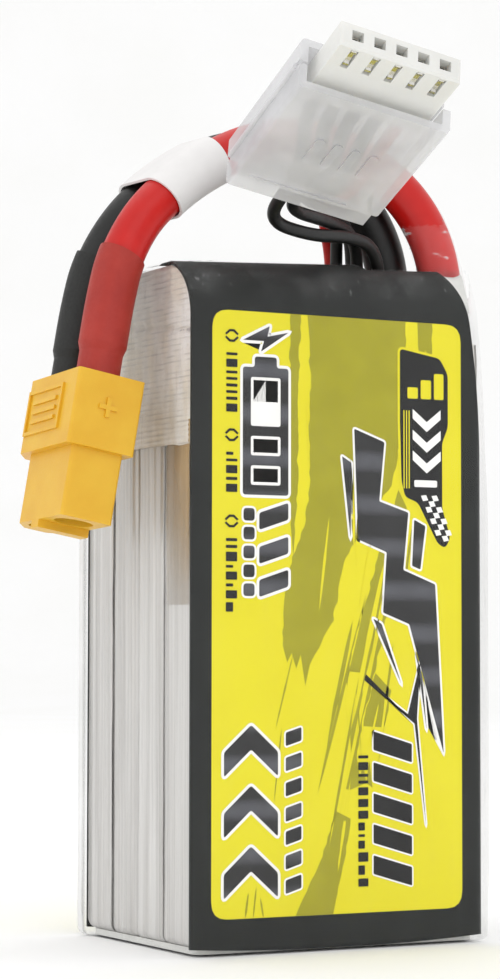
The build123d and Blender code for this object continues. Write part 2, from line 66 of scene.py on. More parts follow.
connector = placer(CONNECTOR_AT, CONNECTOR_X, CONNECTOR_Z)
clip = placer(CLIP_AT, CLIP_X, CLIP_Z)

RED_ROUTE = [
    (16.9, -8.6, JOINT_TOP), (16.9, -8.6, 77.2), (15.7, -8.4, 82.2), (13.1, -7.9, 86.6), (9.2, -7.2, 90.1),
    (4.2, -6.6, 92.5), (-1.6, -6.1, 93.4), (-7.4, -5.9, 92.2), (-12.9, -6.0, 89.5), (-17.8, -6.2, 86.2),
    (-21.9, -6.5, 82.2), (-24.6, -6.6, 77.2), connector(3.6, 0, 25.0), connector(3.6, 0, 20.3),
]
BLACK_ROUTE = [
    (12.9, -3.2, JOINT_TOP), (12.9, -3.2, 77.2), (12.0, -3.0, 82.0), (9.7, -2.5, 86.3), (6.0, -1.8, 89.7),
    (1.2, -1.1, 91.8), (-3.9, -0.6, 92.6), (-8.9, -0.4, 91.7), (-13.5, -0.6, 89.4), (-17.9, -0.8, 86.3),
    (-21.9, -0.9, 82.3), (-24.6, 0.0, 77.2), connector(-3.6, 0, 25.0), connector(-3.6, 0, 20.3),
]
PLUG_STEPS = ((0.1, -20.5), (0.2, -14.2), (0.2, -8.2), (0.2, -3.6))


def into_plug(*across):
    """A wire's last points: into the clip's mouth, and on to its own way in the plug."""
    return [clip(x, y, z) for x, (y, z) in zip(across, PLUG_STEPS)]


# each from its joint on the tab board to the balance plug
WIRE_ROUTES = [
    [
        (9.1, -7.5, JOINT_TOP), (9.1, -7.5, 77.3), (7.3, -9.0, 80.8), (3.3, -10.7, 81.5), (-3.0, -12.4, 80.9),
        (-9.7, -13.8, 82.0),
        *into_plug(-0.8, -1.9, -4.5, -5.0),
    ],
    [
        (7.2, -5.4, JOINT_TOP), (7.2, -5.5, 77.9), (5.6, -7.6, 82.1), (0.4, -11.2, 82.9), (-7.6, -15.0, 83.2),
        *into_plug(0.8, 0.0, -2.2, -2.5),
    ],
    [
        (7.9, -3.0, JOINT_TOP), (7.9, -3.1, 78.4), (6.4, -4.9, 83.4), (1.0, -9.6, 84.8), (-5.6, -14.8, 84.7),
        *into_plug(2.4, 1.8, 0.1, 0.0),
    ],
    [
        (7.0, -0.6, JOINT_TOP), (7.0, -0.8, 79.2), (6.0, -2.7, 84.5), (1.6, -8.0, 86.75), (-3.7, -14.8, 86.1),
        *into_plug(4.0, 3.7, 2.7, 2.5),
    ],
    [
        (7.9, 1.7, JOINT_TOP), (7.9, 1.7, 80.2), (5.5, -0.3, 85.3), (2.2, -6.4, 88.6), (-1.8, -14.8, 87.5),
        *into_plug(5.7, 5.5, 5.1, 5.0),
    ],
]


# ---- materials
def rgb(code):
    """A colour from its six sRGB digits, as the linear values that shaders take."""
    parts = [int(code[i:i + 2], 16) / 255 for i in (0, 2, 4)]
    return tuple(p / 12.92 if p < 0.04045 else ((p + 0.055) / 1.055) ** 2.4 for p in parts) + (1.0,)


class Shader:
    """A node material: one Principled node, with the noises, masks and mixes that drive it."""

    def __init__(self, name, **sockets):
        self.material = bpy.data.materials.new(name)
        self.material.use_nodes = True
        self.tree = self.material.node_tree
        self.bsdf = self.tree.nodes["Principled BSDF"]
        for key, value in sockets.items():
            self.bsdf.inputs[key.replace("_", " ")].default_value = value
        self.where = self.tree.nodes.new("ShaderNodeTexCoord").outputs["Object"]

    def node(self, kind, inputs=None, **settings):
        made = self.tree.nodes.new("ShaderNode" + kind)
        for key, value in settings.items():
            setattr(made, key, value)
        for key, value in (inputs or {}).items():
            if isinstance(value, bpy.types.NodeSocket):
                self.tree.links.new(value, made.inputs[key])
            else:
                made.inputs[key].default_value = value
        return made

    def link(self, value, socket):
        self.tree.links.new(value, self.bsdf.inputs[socket])

    def noise(self, size, stretch=(1, 1, 1), detail=4.0, distortion=0.0):
        """Noise whose features are about size millimetres, longer along an axis by its stretch."""
        scale = [1 / (size * MM * s) for s in stretch]
        spread = self.node("Mapping", {"Vector": self.where, "Scale": scale})
        made = self.node(
            "TexNoise",
            {"Vector": spread.outputs[0], "Scale": 1.0, "Detail": detail, "Distortion": distortion},
        )
        return made.outputs["Fac"]

    def axis(self, name):
        return self.node("SeparateXYZ", {0: self.where}).outputs[name]

    def remap(self, value, low, high, to_low=0.0, to_high=1.0, smooth=False):
        made = self.node(
            "MapRange",
            {"Value": value, "From Min": low, "From Max": high, "To Min": to_low, "To Max": to_high},
        )
        if smooth:
            made.interpolation_type = "SMOOTHSTEP"
        return made.outputs[0]

    def math(self, operation, a, b=0.0):
        return self.node("Math", {0: a, 1: b}, operation=operation).outputs[0]

    def mix(self, share, a, b):
        made = self.node("Mix", data_type="RGBA")
        for socket, value in ((made.inputs[0], share), (made.inputs[6], a), (made.inputs[7], b)):
            if isinstance(value, bpy.types.NodeSocket):
                self.tree.links.new(value, socket)
            else:
                socket.default_value = value
        return made.outputs[2]

    def bump(self, height, depth, under=None):
        """A normal for relief depth millimetres high, over another bump if one is given."""
        made = self.node("Bump", {"Height": height, "Distance": depth * MM})
        if under is not None:
            self.tree.links.new(under, made.inputs["Normal"])
        return made.outputs[0]


GLOSS_SPREAD = 0.06


def plain(name, low, high, roughness, grain=0.25, depth=0.02, patch=4.0, stretch=(1, 1, 1), **sockets):
    """A moulded or drawn surface: colour that drifts between two shades, fine grain, and uneven gloss."""
    s = Shader(name, **sockets)
    drift = s.noise(patch, stretch)
    fine = s.noise(grain, stretch, detail=3)
    s.link(s.mix(s.remap(drift, 0.35, 0.65), rgb(low), rgb(high)), "Base Color")
    s.link(s.remap(fine, 0.3, 0.7, roughness - GLOSS_SPREAD, roughness + GLOSS_SPREAD), "Roughness")
    s.link(s.bump(fine, depth), "Normal")
    return s.material


def paint(obj, material):
    obj.data.materials.clear()
    obj.data.materials.append(material)
    return obj


RED_SILICONE = plain("red_silicone", "BF110C", "C91812", 0.36, grain=0.6, depth=0.004, Specular_IOR_Level=0.4)
BLACK_SILICONE = plain("black_silicone", "070807", "0B0C0B", 0.45, grain=0.5, depth=0.012)
RED_SHRINK = plain("red_shrink", "9E2013", "A8281A", 0.5, grain=0.35, depth=0.02, patch=2.5)
BLACK_SHRINK = plain("black_shrink", "0B0C0A", "121310", 0.55, grain=0.35, depth=0.02, patch=2.5)
WHITE_SLEEVE = plain("white_sleeve", "E3E1E0", "E9E7E6", 0.5, grain=0.3, depth=0.008)
YELLOW_NYLON = plain(
    "yellow_nylon", "DFAB20", "E4B42A", 0.42, grain=0.18, depth=0.012,
    Subsurface_Weight=0.15, Subsurface_Scale=0.0008, Subsurface_Radius=(1.0, 0.6, 0.2),
)
GOLD_PLATE = plain("gold_plate", "C9A048", "D9B25C", 0.25, grain=0.4, depth=0.006, Metallic=1.0)
TIN_PLATE = plain("tin_plate", "C9C7C1", "DEDCD6", 0.22, grain=0.3, depth=0.01, Metallic=1.0)
WHITE_NYLON = plain(
    "white_nylon", "DDDDD9", "E3E3DF", 0.4, grain=0.3, depth=0.01,
    Subsurface_Weight=0.2, Subsurface_Scale=0.001, Subsurface_Radius=(1.0, 0.9, 0.8),
)
CARD = plain(
    "printed_card", "151817", "191C1A", 0.62, grain=0.12, depth=0.0006, patch=6.0, Specular_IOR_Level=0.22,
)
BOARD = plain("board_green", "1F5A34", "27683E", 0.4)
SOLDER = plain("solder", "A9A9A6", "C4C4C0", 0.3, Metallic=1.0)
FISH_PAPER = plain("fish_paper", "C8C0A6", "D3CBB2", 0.7)
WHITE_FOAM = plain("white_foam", "DADAD6", "E6E6E2", 0.85, grain=0.5, depth=0.15)
GREY_FOAM = plain("grey_foam", "6B6C6B", "7C7D7C", 0.9, grain=0.5, depth=0.15)
ALUMINIUM = plain("aluminium_tab", "C2C3C3", "D2D3D3", 0.3, stretch=(1, 1, 6), Metallic=1.0)
NICKEL = plain("nickel_tab", "A9A69C", "BAB7AD", 0.28, stretch=(1, 1, 6), Metallic=1.0)


# ---- objects
def new_object(name, data):
    obj = bpy.data.objects.new(name, data)
    bpy.context.scene.collection.objects.link(obj)
    return obj


def on_pack(obj, slot, *nodes):
    """Puts a piece on the pack's body and hides the CAD nodes that it stands in for; slot is not used."""
    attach(obj, PACK)
    if nodes:
        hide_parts(*nodes)


def final_mesh(obj):
    """The mesh of an object with its modifiers applied."""
    graph = bpy.context.evaluated_depsgraph_get()
    return bpy.data.meshes.new_from_object(obj.evaluated_get(graph))


# ---- cords
CORD_STEPS = 12  # between two points of a route
CORD_ROUNDNESS = 7


def nurbs_cord(name, route, diameter, material, nodes, slot):
    data = bpy.data.curves.new(name, "CURVE")
    data.dimensions = "3D"
    data.resolution_u = CORD_STEPS
    data.bevel_depth = diameter * MM / 2
    data.bevel_resolution = CORD_ROUNDNESS
    data.use_fill_caps = True
    spline = data.splines.new("NURBS")
    spline.points.add(len(route) - 1)
    for point, place in zip(spline.points, route):
        point.co = (*(Vector(place) * MM), 1.0)
    spline.order_u = 3
    spline.use_endpoint_u = True
    obj = paint(new_object(name, data), material)
    on_pack(obj, slot, *nodes)
    return obj


red_cord = nurbs_cord("red_lead_cord", RED_ROUTE, LEAD_D, RED_SILICONE, ["red_lead"], "red_silicone")
black_cord = nurbs_cord(
    "black_lead_cord", BLACK_ROUTE, LEAD_D, BLACK_SILICONE, ["black_lead"], "black_silicone",
)
for number, route in enumerate(WIRE_ROUTES, start=1):
    last = number == len(WIRE_ROUTES)
    material, slot = (RED_SILICONE, "red_silicone") if last else (BLACK_SILICONE, "black_silicone")
    name = f"balance_wire_{number}"
    nurbs_cord(f"{name}_cord", route, WIRE_D, material, [name], slot)


# ---- mesh helpers
def add_mesh(name, verts, faces, material, smooth=True):
    """A mesh piece from points in millimetres."""
    data = bpy.data.meshes.new(name)
    data.from_pydata([tuple(Vector(v) * MM) for v in verts], [], faces)
    work = bmesh.new()
    work.from_mesh(data)
    bmesh.ops.recalc_face_normals(work, faces=work.faces)
    for face in work.faces:
        face.smooth = smooth
    work.to_mesh(data)
    work.free()
    return paint(new_object(name, data), material)


def grid_faces(rows, columns, closed=False):
    """Faces of a grid of points stored row after row; closed joins the last column to the first."""
    faces = []
    for r in range(rows - 1):
        for c in range(columns if closed else columns - 1):
            d = (c + 1) % columns
            faces.append((r * columns + c, r * columns + d, (r + 1) * columns + d, (r + 1) * columns + c))
    return faces


def capped_faces(rows, columns):
    """The faces of a closed tube of such rows, with a lid over each end."""
    ends = [tuple(range(columns)), tuple(range((rows - 1) * columns, rows * columns))]
    return grid_faces(rows, columns, closed=True) + ends


def thicken(obj, thickness, offset=-1.0):
    """Turns a sheet into a thin closed solid, growing inwards unless offset says otherwise."""
    solid = obj.modifiers.new("thickness", "SOLIDIFY")
    solid.thickness = thickness * MM
    solid.offset = offset
    made = final_mesh(obj)
    obj.modifiers.clear()
    obj.data = made


def rough(x, y, z, size, seed):
    """Smooth noise, from about -1 to 1, with features of about size millimetres."""
    return noise.noise(Vector((x / size + seed, y / size - seed, z / size + 0.37 * seed)))


def ramp(value, low, high):
    """0 below low and 1 above high, smooth between them."""
    share = min(1.0, max(0.0, (value - low) / (high - low)))
    return share * share * (3 - 2 * share)


def mound(value, centre, half_width):
    """1 at centre, falling smoothly to 0 half_width away."""
    return 1 - ramp(abs(value - centre), 0, half_width)


def middle_of(points):
    return [sum(p[i] for p in points) / len(points) for i in range(3)]


def part_way(start, end, share):
    return start + (end - start) * share


# ---- printed graphics, as thin raised shapes
PANEL_X = (-16.83, 15.83)
PANEL_Z = (4.0, 71.46)
PANEL_R = 2.0
PRINT_BASE = 14.49  # how far the lowest layer stands from the middle of the pack
PRINT_STEP = 0.02
PRINT_HALF_T = 0.006
OUTLINE = 0.34
BEND_STEPS = 4
MITRE_MAX = 2.2
MITRE_DOT_MIN = 0.2
WELD = 1e-7


def area_of(loop):
    return sum(a[0] * b[1] - b[0] * a[1] for a, b in zip(loop, loop[1:] + loop[:1])) / 2


def grow(loop, distance):
    """A loop moved outwards by distance, with its corners mitred."""
    side = 1 if area_of(loop) > 0 else -1
    grown = []
    for before, here, after in zip(loop[-1:] + loop[:-1], loop, loop[1:] + loop[:1]):
        a = (Vector(here) - Vector(before)).normalized()
        b = (Vector(after) - Vector(here)).normalized()
        na, nb = Vector((a.y, -a.x)), Vector((b.y, -b.x))
        middle = na + nb
        if middle.length < 1e-6:
            middle = na
        middle.normalize()
        reach = min(1 / max(middle.dot(na), MITRE_DOT_MIN), MITRE_MAX)
        grown.append(tuple(Vector(here) + middle * (side * distance * reach)))
    return grown


def rounded(loop, radius):
    """A loop with each corner replaced by a short curve."""
    made = []
    for before, here, after in zip(loop[-1:] + loop[:-1], loop, loop[1:] + loop[:1]):
        p, b, n = Vector(here), Vector(before), Vector(after)
        reach = min(radius, (b - p).length * 0.48, (n - p).length * 0.48)
        start, end = p + (b - p).normalized() * reach, p + (n - p).normalized() * reach
        for i in range(BEND_STEPS + 1):
            t = i / BEND_STEPS
            made.append(tuple(start * (1 - t) ** 2 + p * (2 * t * (1 - t)) + end * t * t))
    return made


def box_loop(x0, x1, z0, z1, radius=0.0):
    """A rectangle, going round anticlockwise."""
    loop = [(x0, z0), (x1, z0), (x1, z1), (x0, z1)]
    return rounded(loop, radius) if radius else loop


def slant_loop(x0, x1, z, height, rise, radius):
    """A bar whose right end is higher by rise, starting at (x0, z)."""
    return rounded([(x0, z), (x1, z + rise), (x1, z + rise + height), (x0, z + height)], radius)


def print_shapes(name, shapes, layer, material, side=-1):
    """Fills the loops as one thin piece on the front (side -1) or back label; a loop in another is a hole."""
    data = bpy.data.curves.new(name, "CURVE")
    data.dimensions = "2D"
    data.fill_mode = "BOTH"
    data.extrude = PRINT_HALF_T * MM
    for loop in shapes:
        spline = data.splines.new("POLY")
        spline.points.add(len(loop) - 1)
        for point, (x, z) in zip(spline.points, loop):
            point.co = (x * MM, z * MM, 0, 1)
        spline.use_cyclic_u = True
    drawn = new_object(name + "_drawn", data)
    mesh = final_mesh(drawn)
    bpy.data.objects.remove(drawn)
    mesh.name = name
    turn = Matrix.Rotation(math.pi if side > 0 else 0, 4, "Z") @ Matrix.Rotation(math.pi / 2, 4, "X")
    away = Vector((0, side * (PRINT_BASE + layer * PRINT_STEP) * MM, 0))
    mesh.transform(Matrix.Translation(away) @ turn)
    weld = bmesh.new()
    weld.from_mesh(mesh)
    bmesh.ops.remove_doubles(weld, verts=weld.verts, dist=WELD)
    bmesh.ops.recalc_face_normals(weld, faces=weld.faces)
    weld.to_mesh(mesh)
    weld.free()
    on_pack(paint(new_object(name, mesh), material), "printed_card")


def outlined(shapes, distance=OUTLINE):
    """Loops given as (loop, is it a hole), each made bigger by distance, and its holes smaller."""
    return [grow(loop, -distance if hole else distance) for loop, hole in shapes]


def inked(shapes):
    return [loop for loop, _ in shapes]


def mark(points, radius):
    return (rounded(points, radius), False)


def edged_marks(outline_name, name, shapes, distance, edge_ink, mark_ink):
    """Marks with an edge of another ink under them."""
    print_shapes(outline_name, outlined(shapes, distance), 2, edge_ink)
    print_shapes(name, inked(shapes), 3, mark_ink)


def ink(name, low, high, patch=3.0):
    return plain(name, low, high, 0.38, grain=0.1, depth=0.0006, patch=patch, Specular_IOR_Level=0.3)


YELLOW_INK = ink("yellow_ink", "E6DA12", "E9DE18", patch=9.0)
OLIVE_INK = ink("olive_ink", "A09A12", "A8A218")
WHITE_INK = ink("white_ink", "F6F5F2", "FCFBF8")
BLACK_INK = ink("black_ink", "060608", "0C0C0F")


SHADE_PITCH = 4.9


def shaded_ink():
    """Near-black ink that turns greyer in level bands, SHADE_PITCH apart."""
    s = Shader("shaded_ink")
    wave = s.math("SINE", s.math("MULTIPLY", s.axis("Z"), math.tau / (SHADE_PITCH * MM)))
    share = s.math("MULTIPLY", s.remap(wave, -0.2, 1.0), s.remap(s.noise(2.0), 0.3, 0.7, 0.7, 1.0))
    s.link(s.mix(share, rgb("0A0A0D"), rgb("54555C")), "Base Color")
    s.link(s.remap(s.noise(0.2), 0.3, 0.7, 0.32, 0.44), "Roughness")
    return s.material


SHADED_INK = shaded_ink()


BRUSH_STEP = 0.7
STREAK_STEPS = 9


def brush(left, right, fingers, reach, seed, wobble=0.16):
    """A dry brush stroke: two edges, each given from top to bottom, and a ragged lower end."""
    draw = random.Random(seed)

    def edge(points):
        made = []
        for (x0, z0), (x1, z1) in zip(points, points[1:]):
            count = max(1, int(math.hypot(x1 - x0, z1 - z0) / BRUSH_STEP))
            for i in range(count):
                shift = 0 if not made else wobble * draw.uniform(-1, 1)
                made.append((part_way(x0, x1, i / count) + shift, part_way(z0, z1, i / count)))
        made.append(points[-1])
        return made

    a, b = edge(left), edge(right)
    (ax, az), (bx, bz) = left[-1], right[-1]
    tips = []
    for i in range(1, 2 * fingers):
        t = i / (2 * fingers)
        drop = reach * draw.uniform(0.5, 1.0) if i % 2 else reach * draw.uniform(-0.35, 0.1)
        tips.append((part_way(ax, bx, t), part_way(az, bz, t) - drop))
    return a + tips + b[::-1]


def streak(x0, z0, x1, z1, width, seed):
    """One long thin dry streak, pointed at both ends."""
    draw = random.Random(seed)
    left, right = [], []
    along = Vector((x1 - x0, z1 - z0)).normalized()
    across = Vector((along.y, -along.x))
    for i in range(1, STREAK_STEPS):
        t = i / STREAK_STEPS
        middle = Vector((part_way(x0, x1, t), part_way(z0, z1, t)))
        half = width / 2 * math.sin(math.pi * t) ** 0.5 * draw.uniform(0.7, 1.1)
        left.append(tuple(middle + across * half))
        right.append(tuple(middle - across * half))
    return [(x0, z0)] + left + [(x1, z1)] + right[::-1]


def streaks(rows, first_seed):
    """Streaks from rows of (x0, z0, x1, z1, width), each with a seed of its own."""
    return [streak(*row, seed) for seed, row in enumerate(rows, start=first_seed)]


panel = box_loop(*PANEL_X, *PANEL_Z, PANEL_R)
print_shapes("front_panel", [panel], 0, YELLOW_INK)

top = PANEL_Z[1] - 0.02  # the strokes end just inside the panel
base = PANEL_Z[0] + 0.02
strokes = [
    brush(
        [(-6.9, top), (-7.0, 60), (-7.2, 52), (-6.8, 47)], [(-5.6, top), (-6.0, 60), (-6.0, 52), (-6.3, 47)],
        1, 3, 3,
    ),
    brush(
        [(-4.7, top), (-4.3, 64), (-4.5, 56), (-4.3, 52), (-5.2, 47.5), (-7.4, 42), (-7.9, 34.2)],
        [(8.3, top), (8.3, 63), (7.6, 58), (6.4, 52.5), (3.4, 49), (0.2, 44), (-1.4, 37), (-4.4, 32)],
        3, 3.0, 5,
    ),
    brush([(9.9, top), (10.1, 68)], [(11.9, top), (11.9, 68)], 2, 1.2, 9, wobble=0.1),
    brush(
        [(7.3, 52), (5.2, 46), (2.5, 38), (0.8, 32), (0.2, 28)],
        [(8.4, 50), (7.2, 44), (5.6, 37), (3.8, 30), (2.6, 25)], 4, 4.5, 11,
    ),
    brush([(4.2, 31), (2.6, 26), (1.7, 21.5)], [(6.3, 29), (5.2, 24), (4.2, 20)], 3, 2.4, 13),
    brush(
        [(-1.0, 15.5), (-2.8, 10.5), (-6.2, base)], [(0.9, 14.6), (0.1, 10), (-1.4, base)],
        1, 0.0, 15, wobble=0.1,
    ),
    *streaks([
        (8, 50, -0.8, 14, 0.55), (3, 40, -3.4, 17.5, 0.5), (1.2, 37, -2.2, 22.5, 0.6),
        (5.5, 44, 0.9, 24.5, 0.7), (2, 30.5, -1.9, 11.5, 0.35), (-6.6, 33, -8.8, 24.8, 0.22),
        (-8, 25, -9, 16.5, 0.2),
        (6.6, 34.5, 4.4, 20, 0.4), (0.9, 19, -0.8, 8.6, 0.4), (-12.2, 6.8, -12.6, base, 0.3),
        (-11.2, 7.4, -11.6, base, 0.22), (-10.7, 6.2, -10.3, base, 0.28), (9.2, 48, 7.9, 40, 0.35),
        (9.9, 67, 9.6, 63.5, 0.3),
    ], 17),
]
print_shapes("front_strokes", strokes, 1, OLIVE_INK)
gaps = streaks([
    (-1.9, 48.6, -3.2, 38, 0.35), (0.9, 55.4, 1.4, 45, 0.5), (2.3, 53, 1.7, 43, 0.6), (3.6, 46, 2, 38, 0.35),
    (5.2, 40, 3.3, 31, 0.3), (4.6, 36, 2.4, 28.6, 0.3), (-4.9, 62, -4.4, 54, 0.2),
    (4.6, 27.5, 3.3, 22.4, 0.3),
], 41)
print_shapes("front_gaps", gaps, 2, YELLOW_INK)

# bold gauge marks down the left of the panel
gauge = [
    mark([(-13.0, 68.2), (-9.6, 69.9), (-9.9, 68.7), (-7.2, 69.3), (-10.7, 67.0), (-10.3, 68.2)], 0.12),
    mark([
        (-13.0, 50.9), (-7.2, 50.9), (-7.2, 65.2), (-8.7, 65.2),
        (-8.7, 66.4), (-11.5, 66.4), (-11.5, 65.2), (-13.0, 65.2),
    ], 0.35),
    *[(box_loop(-12.0, -8.2, z, z + 2.2, 0.3), True) for z in (52.0, 55.3)],
    (box_loop(-12.0, -8.2, 58.6, 64.1, 0.3), True),
]
slanted_bars = [(slant_loop(-10.9, -7.2, z, 1.9, 1.2, 0.3), False) for z in (47.0, 43.2, 39.5)]
unit_bars = [(box_loop(-12.9, -11.5, z, z + 1.4, 0.4), False) for z in (48.0, 45.9, 43.8, 41.7, 39.6)]
low_marks = [
    mark([(-15.3, z), (-11.9, z + 3.0), (-8.5, z), (-8.5, z + 2.7), (-11.9, z + 5.7), (-15.3, z + 2.7)], 0.3)
    for z in (6.2, 12.9, 19.6)
]
bold_outline = outlined(gauge + slanted_bars) + outlined(unit_bars, 0.25) + outlined(low_marks)
print_shapes("front_bold_outline", bold_outline, 2, WHITE_INK)
print_shapes("front_bold_marks", inked(gauge + slanted_bars + unit_bars + low_marks), 3, SHADED_INK)

# small ticks, in place of fine print
TICK_HEIGHTS = (0.3, 0.34, 0.9, 0.9, 1.05)
TICK_GAP = 0.42
LONG_SHARE = 0.75
BRACKET_SIZE = 0.62
BRACKET_HALF = (
    (-1.4, 0.35), (-0.5, 1.15), (0.5, 1.15), (1.4, 0.35),
    (1.1, 0.1), (0.35, 0.72), (-0.35, 0.72), (-1.1, 0.1),
)
draw = random.Random(31)


def tick_column(x0, x1, z_top, z_end):
    """A column of short bars of uneven length and height."""
    made, z = [], z_top
    while z > z_end + 0.9:
        height = draw.choice(TICK_HEIGHTS)
        reach = x1 if draw.random() < LONG_SHARE else (x0 + x1) / 2 + 0.2
        made.append(box_loop(x0, reach, z - height, z, 0.1))
        z -= height + TICK_GAP
    return made


def bracket(x, z):
    """Two facing chevrons, as a bullet."""
    return [
        [(x + across * BRACKET_SIZE, z + side * up * BRACKET_SIZE) for across, up in BRACKET_HALF]
        for side in (-1, 1)
    ]


fine = []
for start, end in ((66.7, 59.2), (55.6, 50.0), (46.0, 37.4)):
    fine += bracket(-14.4, start + 1.9)
    fine += tick_column(-15.1, -13.7, start, end)
fine += tick_column(1.9, 3.2, 21.7, 6.6)
print_shapes("front_fine_marks", fine, 3, BLACK_INK)

thin_row = [
    (slant_loop(-7.5, -5.5, z, 1.5, 0.6, 0.2), False) for z in (22.9, 20.1, 17.3, 14.5, 11.9, 9.2, 6.5)
]
edged_marks("front_thin_outline", "front_thin_marks", thin_row, 0.22, WHITE_INK, SHADED_INK)

# dark badge at the upper right, with pale chevrons and a checked tail
badge = [mark([
    (7.5, 68.3), (12.9, 67.4), (14, 65.6), (14, 59.4), (13.2, 57.6), (13.2, 50), (14.3, 46.6), (13.6, 45.4),
    (12.6, 45.9), (9.9, 50.6), (8.2, 51.2), (7.7, 53), (7.5, 60),
], 0.5)]
edged_marks("front_badge_outline", "front_badge", badge, 0.3, YELLOW_INK, BLACK_INK)
chevrons = [
    [(9.2, z), (11.1, z - 1.5), (13.0, z), (13.0, z + 1.1), (11.1, z - 0.35), (9.2, z + 1.1)]
    for z in (60.3, 57.9, 55.5)
]
chevrons.append(box_loop(9.4, 12.5, 52.4, 53.2, 0.2))
checks = []
for i in range(8):
    for j in range(i % 2, 3, 2):
        x, z = 10.3 + j * 0.72 + i * 0.3, 51.4 - i * 0.66
        checks.append([(x, z), (x + 0.7, z + 0.1), (x + 0.98, z - 0.5), (x + 0.28, z - 0.62)])
print_shapes("front_badge_pale", chevrons + checks, 4, WHITE_INK)
badge_yellow = [
    box_loop(8.5, 9.9, 62.6, 63.9, 0.2),
    box_loop(10.3, 11.7, 62.6, 64.8, 0.2),
    box_loop(12.1, 13.4, 62.6, 65.6, 0.2),
    *[box_loop(x, x + 0.14, 52.2, 61.2) for x in (7.95, 8.3, 8.65)],
]
print_shapes("front_badge_yellow", badge_yellow, 4, YELLOW_INK)

# a stepped bolt with shards beside it in the middle, and slanted bars at the lower right
blades = [
    mark([
        (1.4, 58.8), (5.4, 57.4), (4.7, 50.6), (8.6, 49.4), (7.9, 42.8), (12.2, 41.2),
        (13.3, 21.8), (8.7, 36.6), (5.2, 37.9), (5.7, 44.8), (1.9, 46.2),
    ], 0.2),
    mark([(-0.2, 55.6), (1.0, 54.9), (0.9, 46.4)], 0.12),
    mark([(9.4, 48.6), (10.9, 47.9), (10.2, 42.9), (9.1, 43.3)], 0.15),
    mark([(3.9, 37.2), (5.0, 36.6), (7.6, 29.8)], 0.12),
    mark([(9.7, 33.0), (10.4, 30.8), (11.0, 24.6)], 0.1),
]
edged_marks("front_blade_outline", "front_blades", blades, 0.26, WHITE_INK, SHADED_INK)

slashes = [
    mark([(2.7, 30.2), (8.5, 26.3), (10.2, 32.4), (9.7, 25.8), (10.9, 13.6), (9.4, 25.2), (2.9, 30.9)], 0.1),
    *[
        mark([(3.9, z), (9.0, z - 1.5), (9.0, z - 3.6), (3.9, z - 2.1)], 0.15)
        for z in (24.4, 20.9, 17.4, 13.9, 10.4)
    ],
]
edged_marks("front_slash_outline", "front_slashes", slashes, 0.2, WHITE_INK, BLACK_INK)

# back label: the same panel, with strokes of its own and a plain charge gauge
print_shapes("back_panel", [panel], 0, YELLOW_INK, side=1)
back_strokes = [
    brush(
        [(-9.5, top), (-9.0, 58), (-10.4, 44), (-11.6, 33)], [(0.5, top), (0.2, 58), (-1.6, 44), (-5.0, 31)],
        4, 4, 51,
    ),
    brush([(6.0, 40), (3.5, 28), (-0.5, 14)], [(9.4, 42), (7.0, 28), (3.5, 12)], 3, 3.5, 52),
    *streaks([(11.0, 52, 6.5, 20, 0.5), (2.6, 34, -2.5, 10, 0.5)], 53),
]
print_shapes("back_strokes", back_strokes, 1, OLIVE_INK, side=1)
gauge_case = box_loop(-6.5, 6.5, 40.0, 62.0, 1.5)
gauge_inside = box_loop(-5.6, 5.6, 40.9, 61.1, 0.96)
gauge_tip = box_loop(-2.2, 2.2, 62.9, 64.4, 0.4)
gauge_levels = [box_loop(-4.7, 4.7, z, z + 3.6, 0.5) for z in (42.0, 46.8, 51.6, 56.4)]
back_rows = [
    box_loop(-12.5, draw.uniform(3.0, 12.0), z, z + 0.9, 0.3)
    for z in (32.0, 29.6, 27.2, 22.4, 20.0, 17.6, 12.8, 10.4)
]
print_shapes("back_outline", [grow(gauge_case, 0.35), grow(gauge_tip, 0.35)], 2, WHITE_INK, side=1)
back_marks = [gauge_case, gauge_inside, gauge_tip, *gauge_levels, *back_rows]
print_shapes("back_marks", back_marks, 3, BLACK_INK, side=1)


# ---- pouch cells
CELL_PITCH = 7.0
CELL_HALF_T = 3.33
CELL_SIDE = 18.5
CELL_EDGE_R = 0.9
CELL_BASE_Z = 0.9
CELL_TOP_Z = 69.4
BACK_CORNER_R = 2.2  # of the stack's lower edge, at its back
FRONT_CORNER_R = 1.8  # the same at its front
SIDE_CORNER_R = 0.8
END_ROUND = 2.0  # a cell's outline changes this far from each end
END_RISES = (0.0, 0.12, 0.3, 0.55, 0.9, 1.3, 1.65, END_ROUND)
END_CLOSER = 0.9
BODY_ROWS = 40
EDGE_ROUND_STEPS = 5
# the folded seam on each side of a cell, as the part of the side that it covers (from, to along Y)
SEAMS = ((-13.75, -6.5), (-6.25, 0.95), (1.35, 6.6), (6.85, 13.75))
SEAM_T = 0.22
SEAM_STEPS = 26
SEAM_ROLL = 1.5  # steps over which a seam rises from the side


def pouch_foil():
    s = Shader("pouch_foil", Metallic=0.35, Specular_IOR_Level=0.6)
    lines = s.noise(0.35, stretch=(1, 1, 90), detail=5)
    broad = s.noise(1.6, stretch=(1, 1, 30), detail=3)
    tone = s.mix(s.remap(lines, 0.35, 0.68), rgb("BDBBB8"), rgb("D2D0CD"))
    s.link(s.mix(s.remap(broad, 0.4, 0.7, 0.0, 0.5), tone, rgb("E9E8E6")), "Base Color")
    s.link(s.remap(broad, 0.3, 0.7, 0.3, 0.5), "Roughness")
    s.link(s.bump(lines, 0.03, under=s.bump(s.noise(1.2, stretch=(1, 1, 5)), 0.05)), "Normal")
    return s.material


POUCH = pouch_foil()


